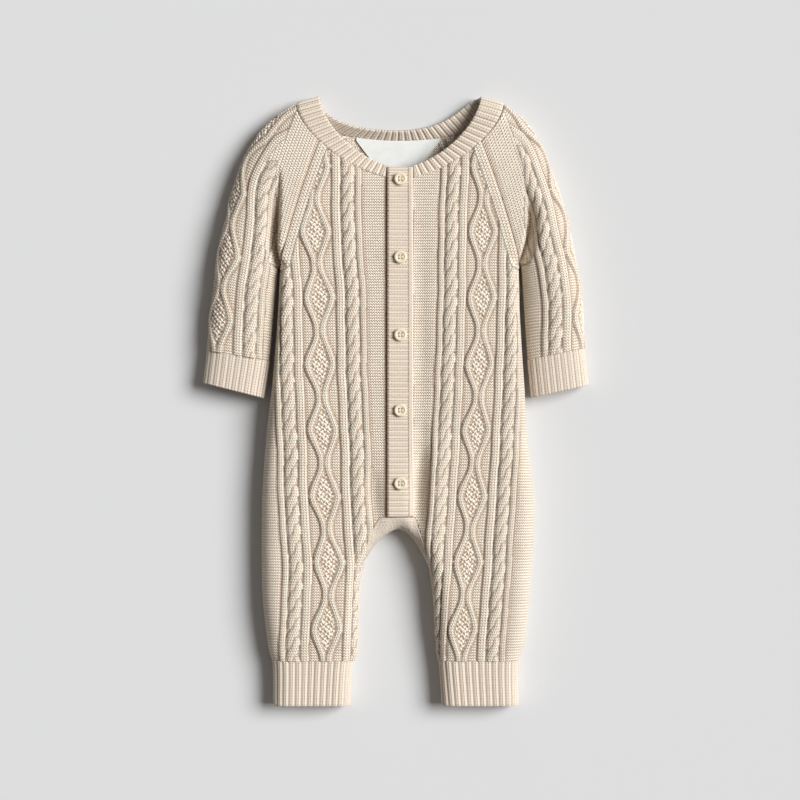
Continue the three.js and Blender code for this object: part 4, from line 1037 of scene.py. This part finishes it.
# Tubes of rib
def tube(name, place, edges, rows_count, columns, relief_height):
    """A flat-lying tube of rib. edges(t) gives the plan points of its inner and outer fold, t from 0 to 1."""
    inner, outer = edges(np.linspace(0, 1, rows_count))
    there = straight(inner[:, 0], inner[:, 1], outer[:, 0], outer[:, 1])
    again = straight(outer[:, 0], outer[:, 1], inner[:, 0], inner[:, 1])
    rows = courses(place, [("front", there), ("back", again)], closed=np.ones(rows_count, bool))
    s = np.linspace(0, 1, columns)[None, :] * rows["total"][:, None]
    points, normals = lay(rows, s)
    count = round(rows["total"][0] / HEM_RIB)
    share = np.broadcast_to(np.linspace(0, count, columns)[None, :], s.shape)
    v = np.linspace(0, 1, rows_count)[:, None] * np.linalg.norm(inner[-1] - inner[0]) + np.zeros_like(s)
    relief, *pattern = ribs(share * HEM_RIB, v, HEM_RIB, relief_height)
    relief = relief * resting(normals)
    edge = ease(0, 1.2, v.max() - v) * 0.5 + 0.5
    outer_points = grown(points, normals, relief * edge)
    inner_points = grown(points, normals, -WALL - 0.6 * relief)
    declare(cloth(name, outer_points, inner_points, pattern, rib_cloth), points)


def leg_rib(name, half):
    def edges(t):
        y = mix(HEM_TOP - 0.1, HEM_END, t)
        return np.stack([half["inseam_x"](y), y], 1), np.stack([half["side_x"](y), y], 1)

    tube(name, body_place, edges, rows_count=44, columns=190, relief_height=RIB_RELIEF)


def cuff(name, half):
    c = {key: np.array(point) for key, point in half["cuff"].items()}

    def edges(t):
        t = t[:, None]
        return mix(c["inner_top"], c["inner_end"], t), mix(c["outer_top"], c["outer_end"], t)

    tube(name, sleeve_place(half), edges, rows_count=36, columns=170, relief_height=CUFF_RELIEF)


leg_rib("leg_rib_left", LEFT)
leg_rib("leg_rib_right", RIGHT)
cuff("cuff_left", LEFT)
cuff("cuff_right", RIGHT)


# Sleeves
CLOSE_COLUMNS = column_places(0.95, 1.3)
SLEEVE_COLUMNS = np.concatenate([CLOSE_COLUMNS[CLOSE_COLUMNS < 44], np.arange(47, 118, 3.2)])
# The rope beyond this line of the pattern ends at the shoulder, in an arch that falls off to its sides
ARCH_SIDE, ARCH_FALL = -21.15, 0.03
NO_ENDING = 99.0
CLIMB = (130, 205)  # y over which the pattern climbs round the arm
BOW = 0.3  # share of the raglan, from the neck down, over which rows bow along the neck seam


def sleeve(name, half):
    place = sleeve_place(half)
    c = half["cuff"]
    steps = 60
    outer_line = smooth_plan([c["outer_top"], *half["sleeve_outer"]], steps)
    inner_line = smooth_plan([c["inner_top"], *half["sleeve_inner"]], steps)
    last, split = len(outer_line) - 1, 2 * steps
    counted = np.arange(last + 1)
    along = length_along(outer_line)
    places = np.interp(np.linspace(0, along[-1], 196), along, counted)
    places = np.array(sorted([*places[np.abs(places - split) > 0.15], split]))
    v = np.interp(places, counted, along)
    closed = places <= split + 1e-6
    t = np.where(closed, 1.0, 1 - (places - split) / (last - split))
    below = np.minimum(places, split)
    outer = np.stack([np.interp(places, counted, outer_line[:, k]) for k in (0, 1)], 1)
    inner_closed = np.stack([np.interp(below, counted[: split + 1], inner_line[:, k]) for k in (0, 1)], 1)
    bow = np.where(closed, 0.0, clamp(1 - t / BOW, 0, 1) ** 2)[:, None]

    def to_fold(face):
        neck = NECK["seam_" + face]
        start = np.where(closed[:, None], inner_closed, raglan(half, face, t))
        line = straight(start[:, 0], start[:, 1], outer[:, 0], outer[:, 1])
        foot = RAGLAN_X[face]

        def plan(w):
            x, y = line(w)
            seam_x = mix(foot, neck["across"], w)
            chord = mix(float(neck_height(neck, foot)), neck["top"], w)
            return x, y + bow * (neck_height(neck, seam_x) - chord)[None, :]

        return plan

    there, again = to_fold("front"), to_fold("back")
    rows = courses(place, [("front", there), ("back", lambda w: again(1 - w))], closed=closed)
    climb = half["climb"] * ease(*CLIMB, outer[:, 1])
    s, u = on_columns(rows, rows["turn"] - half["twist"] + climb, SLEEVE_COLUMNS)
    points, normals = lay(rows, s)
    along_v = np.broadcast_to(v[:, None], u.shape)
    away = np.minimum(seam_distance(half["raglan_front"], points), seam_distance(half["raglan_back"], points))
    under_seam = np.maximum(v[closed][-1] - v, 0.0)[:, None] * 3
    # Plain knit lies along the raglan, widens upwards and fills the shoulder above the rope's arched end
    widening = SHOULDER_PLAIN * ease(*SHOULDER, points[..., 1])
    arch = half["rope_end"] - ARCH_FALL * (u + ROPE_MIDDLE) ** 2 - points[..., 1]
    ending = np.where(u < ARCH_SIDE, SLEEVE_PLAIN[0] + np.maximum(arch, -SLEEVE_PLAIN[0]), NO_ENDING)
    fade_at = np.maximum(np.minimum(away - widening, ending), 0.0) + under_seam
    pattern = knit(u * half["sign"], along_v)
    relief, *pattern = by_raglan(pattern, fade_at, along_v, *SLEEVE_PLAIN, away)
    outer_points = grown(points, normals, relief * resting(normals))
    inner_points = grown(points, normals, -WALL)
    declare(cloth(name, outer_points, inner_points, pattern, knit_cloth), points)


sleeve("sleeve_left", LEFT)
sleeve("sleeve_right", RIGHT)


# Neckband
def neckband():
    """One ring of rib from band to band, between the neck seam and the rim, over the back of the neck."""
    stops_count, columns, steps_per_rib = 121, 15, 9

    def arc(seam, rim, x0, sign, front_side):
        start = math.asin(x0 / seam["across"]) if front_side else 0.0
        angle = np.linspace(start, math.pi / 2, stops_count)
        share = np.sin(angle)
        past_band = (angle - start) / (math.pi / 2 - start)
        near = 1 - ease(0, 0.35, past_band) if front_side else np.zeros_like(angle)
        rim_x = mix(rim["across"] * share, np.maximum(rim["across"] * share, x0), near)
        seam_points = np.stack([sign * seam["across"] * share, neck_height(seam, seam["across"] * share)], 1)
        rim_points = np.stack([sign * rim_x, neck_height(rim, rim_x)], 1)
        side = np.full((stops_count, 1), float(front_side))
        return np.concatenate([seam_points, rim_points, side, share[:, None]], 1)

    edge = BAND_RIGHT + 0.1
    left_front = arc(NECK["seam_front"], NECK["rim_front"], edge, -1, True)
    left_back = arc(NECK["seam_back"], NECK["rim_back"], 0, -1, False)
    power = BACK_RIM_POWER - np.sin(np.linspace(0, math.pi / 2, stops_count)) ** 2
    right_back = arc(NECK["seam_back"], dict(NECK["rim_back"], power=power), 0, 1, False)
    right_front = arc(NECK["seam_front"], NECK["rim_front"], edge, 1, True)
    ring = np.concatenate([left_front, left_back[::-1][1:], right_back[1:], right_front[::-1][1:]])
    across = np.linspace(0, 1, columns)
    x = ring[:, 0:1] + (ring[:, 2:3] - ring[:, 0:1]) * across
    y = ring[:, 1:2] + (ring[:, 3:4] - ring[:, 1:2]) * across
    top, _ = front_face(neck_place, x.ravel(), y.ravel())
    under, _ = back_face(neck_place, x.ravel(), y.ravel())
    is_front = ring[:, 4:5] > 0.5
    lift = NECK_LIFT * across[None, :] * (1 - ring[:, 5:6] ** 6)
    z = np.where(is_front, top[:, 2].reshape(x.shape), np.maximum(under[:, 2].reshape(x.shape), lift))
    raw = np.stack([x, y, z], -1)
    middle = raw[:, columns // 2]
    along = length_along(middle)
    count = round(along[-1] / NECK_RIB)
    stops = np.linspace(0, along[-1], count * steps_per_rib + 1)
    points = np.stack(
        [np.stack([np.interp(stops, along, raw[:, k, c]) for c in range(3)], -1) for k in range(columns)], 1
    )
    d_along = np.gradient(points, axis=0)
    d_across = np.gradient(points, axis=1)
    normals = -np.cross(d_along, d_across)
    normals /= np.maximum(np.linalg.norm(normals, axis=2, keepdims=True), 1e-9)
    width = np.linalg.norm(points[:, -1] - points[:, 0], axis=1)[:, None]
    share = np.broadcast_to((stops / along[-1] * count)[:, None], points.shape[:2])
    v = across[None, :] * width
    relief, *pattern = ribs(share * NECK_RIB, v, NECK_RIB, NECK_RELIEF)
    relief = relief * np.minimum(ease(0, 1.2, v), 0.5 + 0.5 * ease(0, 1.2, width - v))
    outer = grown(points, normals, relief * resting(normals))
    inner = grown(points, normals, -WALL - 0.8 * relief)
    declare(cloth("neckband", outer, inner, pattern, rib_cloth), points)


neckband()


# Button bands
def strip(name, left, right, lift_left, lift_right, wall, rows_count, columns, join=None):
    """A band down the front, lifted off the cloth. Beyond join it is a plain column."""
    y = np.linspace(BAND_BOTTOM, BAND_TOP, rows_count)
    x = np.linspace(left, right, columns)
    gx, gy = np.meshgrid(x, y)
    points, normals = front_face(body_place, gx.ravel(), gy.ravel())
    points, normals = points.reshape(*gx.shape, 3), normals.reshape(*gx.shape, 3)
    lift = mix(lift_left, lift_right, (gx - left) / (right - left))
    points = grown(points, normals, lift)
    edge = ease(0, 1.4, gx - left) * ease(0, 1.2, gy - BAND_BOTTOM) * ease(0, 1.2, BAND_TOP - gy)
    relief, kind, painted_shade, across, along = ribs(gy - BAND_BOTTOM, gx, BAND_RIB, BAND_RELIEF, 0.38, 0.45)
    if join is not None:
        seam = gx > join
        relief = np.where(seam, 0.75 * dome(gx - (join + BAND_COLUMN), BAND_COLUMN), relief)
        painted_shade = np.where(seam, 0.0, painted_shade)
        # Painted shade along the join
        painted_shade = np.maximum(painted_shade, 0.4 * bell(gx - join, 0.6))
        across = np.where(seam, (gx - join) / BAND_COLUMN, across)
        along = np.where(seam, gy / ROW, along)
    roll = -BAND_ROLL * (1 - edge)
    outer = grown(points, normals, relief * edge + roll)
    inner = grown(points, normals, -wall)
    declare(cloth(name, outer, inner, (kind, painted_shade, across, along), rib_cloth), points)


strip("under_band", BAND_LEFT + 0.1, BAND_RIGHT - 2.5, 0.0, -1.4, WALL, rows_count=220, columns=16)
strip(
    "button_band", BAND_LEFT, BAND_RIGHT - 0.1, BAND_LIFT_LEFT, BAND_LIFT_RIGHT, BAND_WALL,
    rows_count=390, columns=30, join=BAND_JOIN,
)


# Gusset
def even_line(points, count):
    points = np.asarray(points, float)
    along = length_along(points)
    s = np.linspace(0, along[-1], count)
    return np.stack([np.interp(s, along, points[:, k]) for k in (0, 1)], 1)


def gusset():
    """Fine rib below the bands, wrapped under at the crotch."""
    rows_count, columns, gap = 91, 34, 0.1

    def edge_of(half):
        y = np.linspace(half["gusset"][0][0] + 1.5, GUSSET_EDGE - gap, 16)
        return np.stack([half["gusset_x"](y) - half["sign"] * gap, y], 1)

    left_edge, right_edge = edge_of(LEFT), edge_of(RIGHT)[::-1]
    edge = even_line(np.concatenate([left_edge, right_edge]), rows_count)
    low = np.where(crotch_line[:, 0] < 0, left_edge[0, 1], right_edge[-1, 1])
    crotch = even_line(crotch_line[crotch_line[:, 1] > low], rows_count)
    there = straight(edge[:, 0], edge[:, 1], crotch[:, 0], crotch[:, 1])
    again = straight(crotch[:, 0], crotch[:, 1], edge[:, 0], edge[:, 1])
    rows = courses(body_place, [("front", there), ("back", again)])
    s = np.linspace(0, 1, columns)[None, :] * rows["total"][:, None]
    points, normals = lay(rows, s)
    v = np.broadcast_to(length_along(crotch)[:, None], s.shape)
    relief, *pattern = ribs(s, v, 3.0, relief=0.35, broad=0.4, depth=0.15)
    outer, inner = grown(points, normals, relief * resting(normals)), grown(points, normals, -WALL)
    declare(cloth("crotch_gusset", outer, inner, pattern, rib_cloth), points)


gusset()


# Label: how far down it hangs at each distance from its middle
LABEL_DEPTH = [(0, 29.5), (8, 28.2), (15, 24), (21, 18.5), (28, 9.5), (35, 0)]
LABEL_MIDDLE = -1.6
LABEL_TAPE = 0.7


def label():
    columns, rows_count = 41, 25
    x = LABEL_DEPTH[-1][0] * np.sin(np.linspace(-math.pi / 2, math.pi / 2, columns))
    top = neck_height(NECK["seam_back"], x + LABEL_MIDDLE) - 1
    bottom = float(neck_height(NECK["seam_back"], 0)) - 1 - table_curve(LABEL_DEPTH)(np.abs(x))
    bottom = np.minimum(bottom, top - 0.6)
    t = np.linspace(0, 1, rows_count)[:, None]
    gy = bottom + (top - bottom) * t
    gx = np.broadcast_to(x + LABEL_MIDDLE, gy.shape)
    points, normals = back_face(body_place, gx.ravel(), gy.ravel())
    points, normals = points.reshape(*gy.shape, 3), normals.reshape(*gy.shape, 3)
    wave = 0.35 * np.sin(gx / 9.0) * (1 - t) + 0.25 * np.sin(gx / 23 + gy / 15)
    under = grown(points, normals, -WALL - 0.3 - np.maximum(wave + 0.4, 0) * 0.6)
    over = grown(under, normals, -LABEL_TAPE)
    plain = np.zeros(gy.shape)
    declare(cloth("neck_label", under, over, (plain, plain, gx, gy), tape), points)


label()


# Buttons
def front_height(x, y):
    return front_face(body_place, np.atleast_1d(float(x)), np.atleast_1d(float(y)))[0][0, 2]


def add_cylinder(radius, depth, x, y, z, sides, tilt=0.0):
    bpy.ops.object.select_all(action="DESELECT")
    bpy.ops.mesh.primitive_cylinder_add(
        vertices=sides, radius=radius * MM, depth=depth * MM, rotation=(tilt, 0, 0),
        location=(x * MM, y * MM, z * MM),
    )
    obj = bpy.context.object
    bpy.ops.object.transform_apply(location=True, rotation=True, scale=True)
    return obj


def round_edges(obj, width, segments):
    rounding = obj.modifiers.new("Rounded", "BEVEL")
    rounding.width, rounding.segments = width * MM, segments
    rounding.limit_method, rounding.angle_limit = "ANGLE", math.radians(60)
    apply_all(obj)


def carve(obj, tool):
    cut = obj.modifiers.new("Cut", "BOOLEAN")
    cut.operation, cut.solver, cut.object = "DIFFERENCE", "EXACT", tool
    apply_all(obj)
    bpy.data.objects.remove(tool, do_unlink=True)


def button(number, y):
    """A four-hole button that sits just above the cloth round its rim, and its thread."""
    seat = 0.0
    for angle in np.arange(16) * math.pi / 8:
        x = BUTTON_X + BUTTON_RADIUS * math.cos(angle)
        lift = mix(BAND_LIFT_LEFT, BAND_LIFT_RIGHT, (x - BAND_LEFT) / (BAND_RIGHT - BAND_LEFT))
        seat = max(seat, front_height(x, y + BUTTON_RADIUS * math.sin(angle)) + lift)
    seat += BUTTON_GAP
    top = seat + BUTTON_THICK
    x = BUTTON_X + CENTRE_FRONT_X
    body = add_cylinder(BUTTON_RADIUS, BUTTON_THICK, x, y, seat + BUTTON_THICK / 2, 64)
    round_edges(body, BUTTON_ROUNDING, 4)
    dish = add_cylinder(DISH_RADIUS, 1.2, x, y, top + 0.6 - DISH_DEPTH, 48)
    round_edges(dish, DISH_ROUNDING, 3)
    carve(body, dish)
    for sx, sy in ((1, 1), (-1, 1), (-1, -1), (1, -1)):
        carve(body, add_cylinder(HOLE_RADIUS, 6, x + sx * HOLE_PLACE, y + sy * HOLE_PLACE, seat + 1, 20))
    select_only(body)
    bpy.ops.object.shade_smooth_by_angle(angle=math.radians(35))
    finish_piece(body, f"button_{number}", [f"button_{number}"], ivory)
    left_strand, right_strand = (
        add_cylinder(THREAD_RADIUS, THREAD_LENGTH, x + sx * HOLE_PLACE, y, top - 0.42, 10, tilt=math.pi / 2)
        for sx in (-1, 1)
    )
    select_only(left_strand)
    right_strand.select_set(True)
    bpy.ops.object.join()
    bpy.ops.object.shade_smooth()
    finish_piece(left_strand, f"button_thread_{number}", None, thread)


for number, y in enumerate(BUTTON_HEIGHTS, 1):
    button(number, y)


# Light and camera
FILL_COLOUR, FILL_POWER = (1, 0.95, 0.91, 1), 0.16
KEY_TOWARDS = (1.0, 0.3, 0.96)
KEY_SOFTNESS, KEY_POWER, KEY_COLOUR = 34, 4.2, (0.99, 1.0, 1.01)
# The photo spans 800 pixels at 1.2 pixels a millimetre, in the plane of the cloth's top. Places here are in
# metres.
DISTANCE = 2.2
PHOTO_SPAN = 800 / 1.2 * MM
CAMERA_X, CAMERA_Y, CLOTH_TOP = 0.00317, 0.00042, 0.018
SENSOR = 36

world_data = bpy.data.worlds.new("Studio")
bpy.context.scene.world = world_data
world_data.use_nodes = True
fill = world_data.node_tree.nodes["Background"]
fill.inputs[0].default_value = FILL_COLOUR
fill.inputs[1].default_value = FILL_POWER


def sun(name, towards, softness, power, colour):
    """A broad far light: towards is its direction from the garment."""
    light = bpy.data.lights.new(name, "SUN")
    light.angle, light.energy, light.color = math.radians(softness), power, colour
    obj = bpy.data.objects.new(name, light)
    bpy.context.collection.objects.link(obj)
    x, y, z = towards
    obj.location = towards
    obj.rotation_euler = (math.atan2(math.hypot(x, y), z), 0, math.atan2(y, x) + math.pi / 2)


sun("key", KEY_TOWARDS, KEY_SOFTNESS, KEY_POWER, KEY_COLOUR)

camera = bpy.data.cameras.new("camera")
camera.sensor_width = SENSOR
camera.lens = SENSOR * DISTANCE / PHOTO_SPAN
camera_object = bpy.data.objects.new("camera", camera)
bpy.context.collection.objects.link(camera_object)
camera_object.location = (CAMERA_X, CAMERA_Y, CLOTH_TOP + DISTANCE)
bpy.context.scene.camera = camera_object
bpy.context.scene.view_settings.view_transform = "Standard"
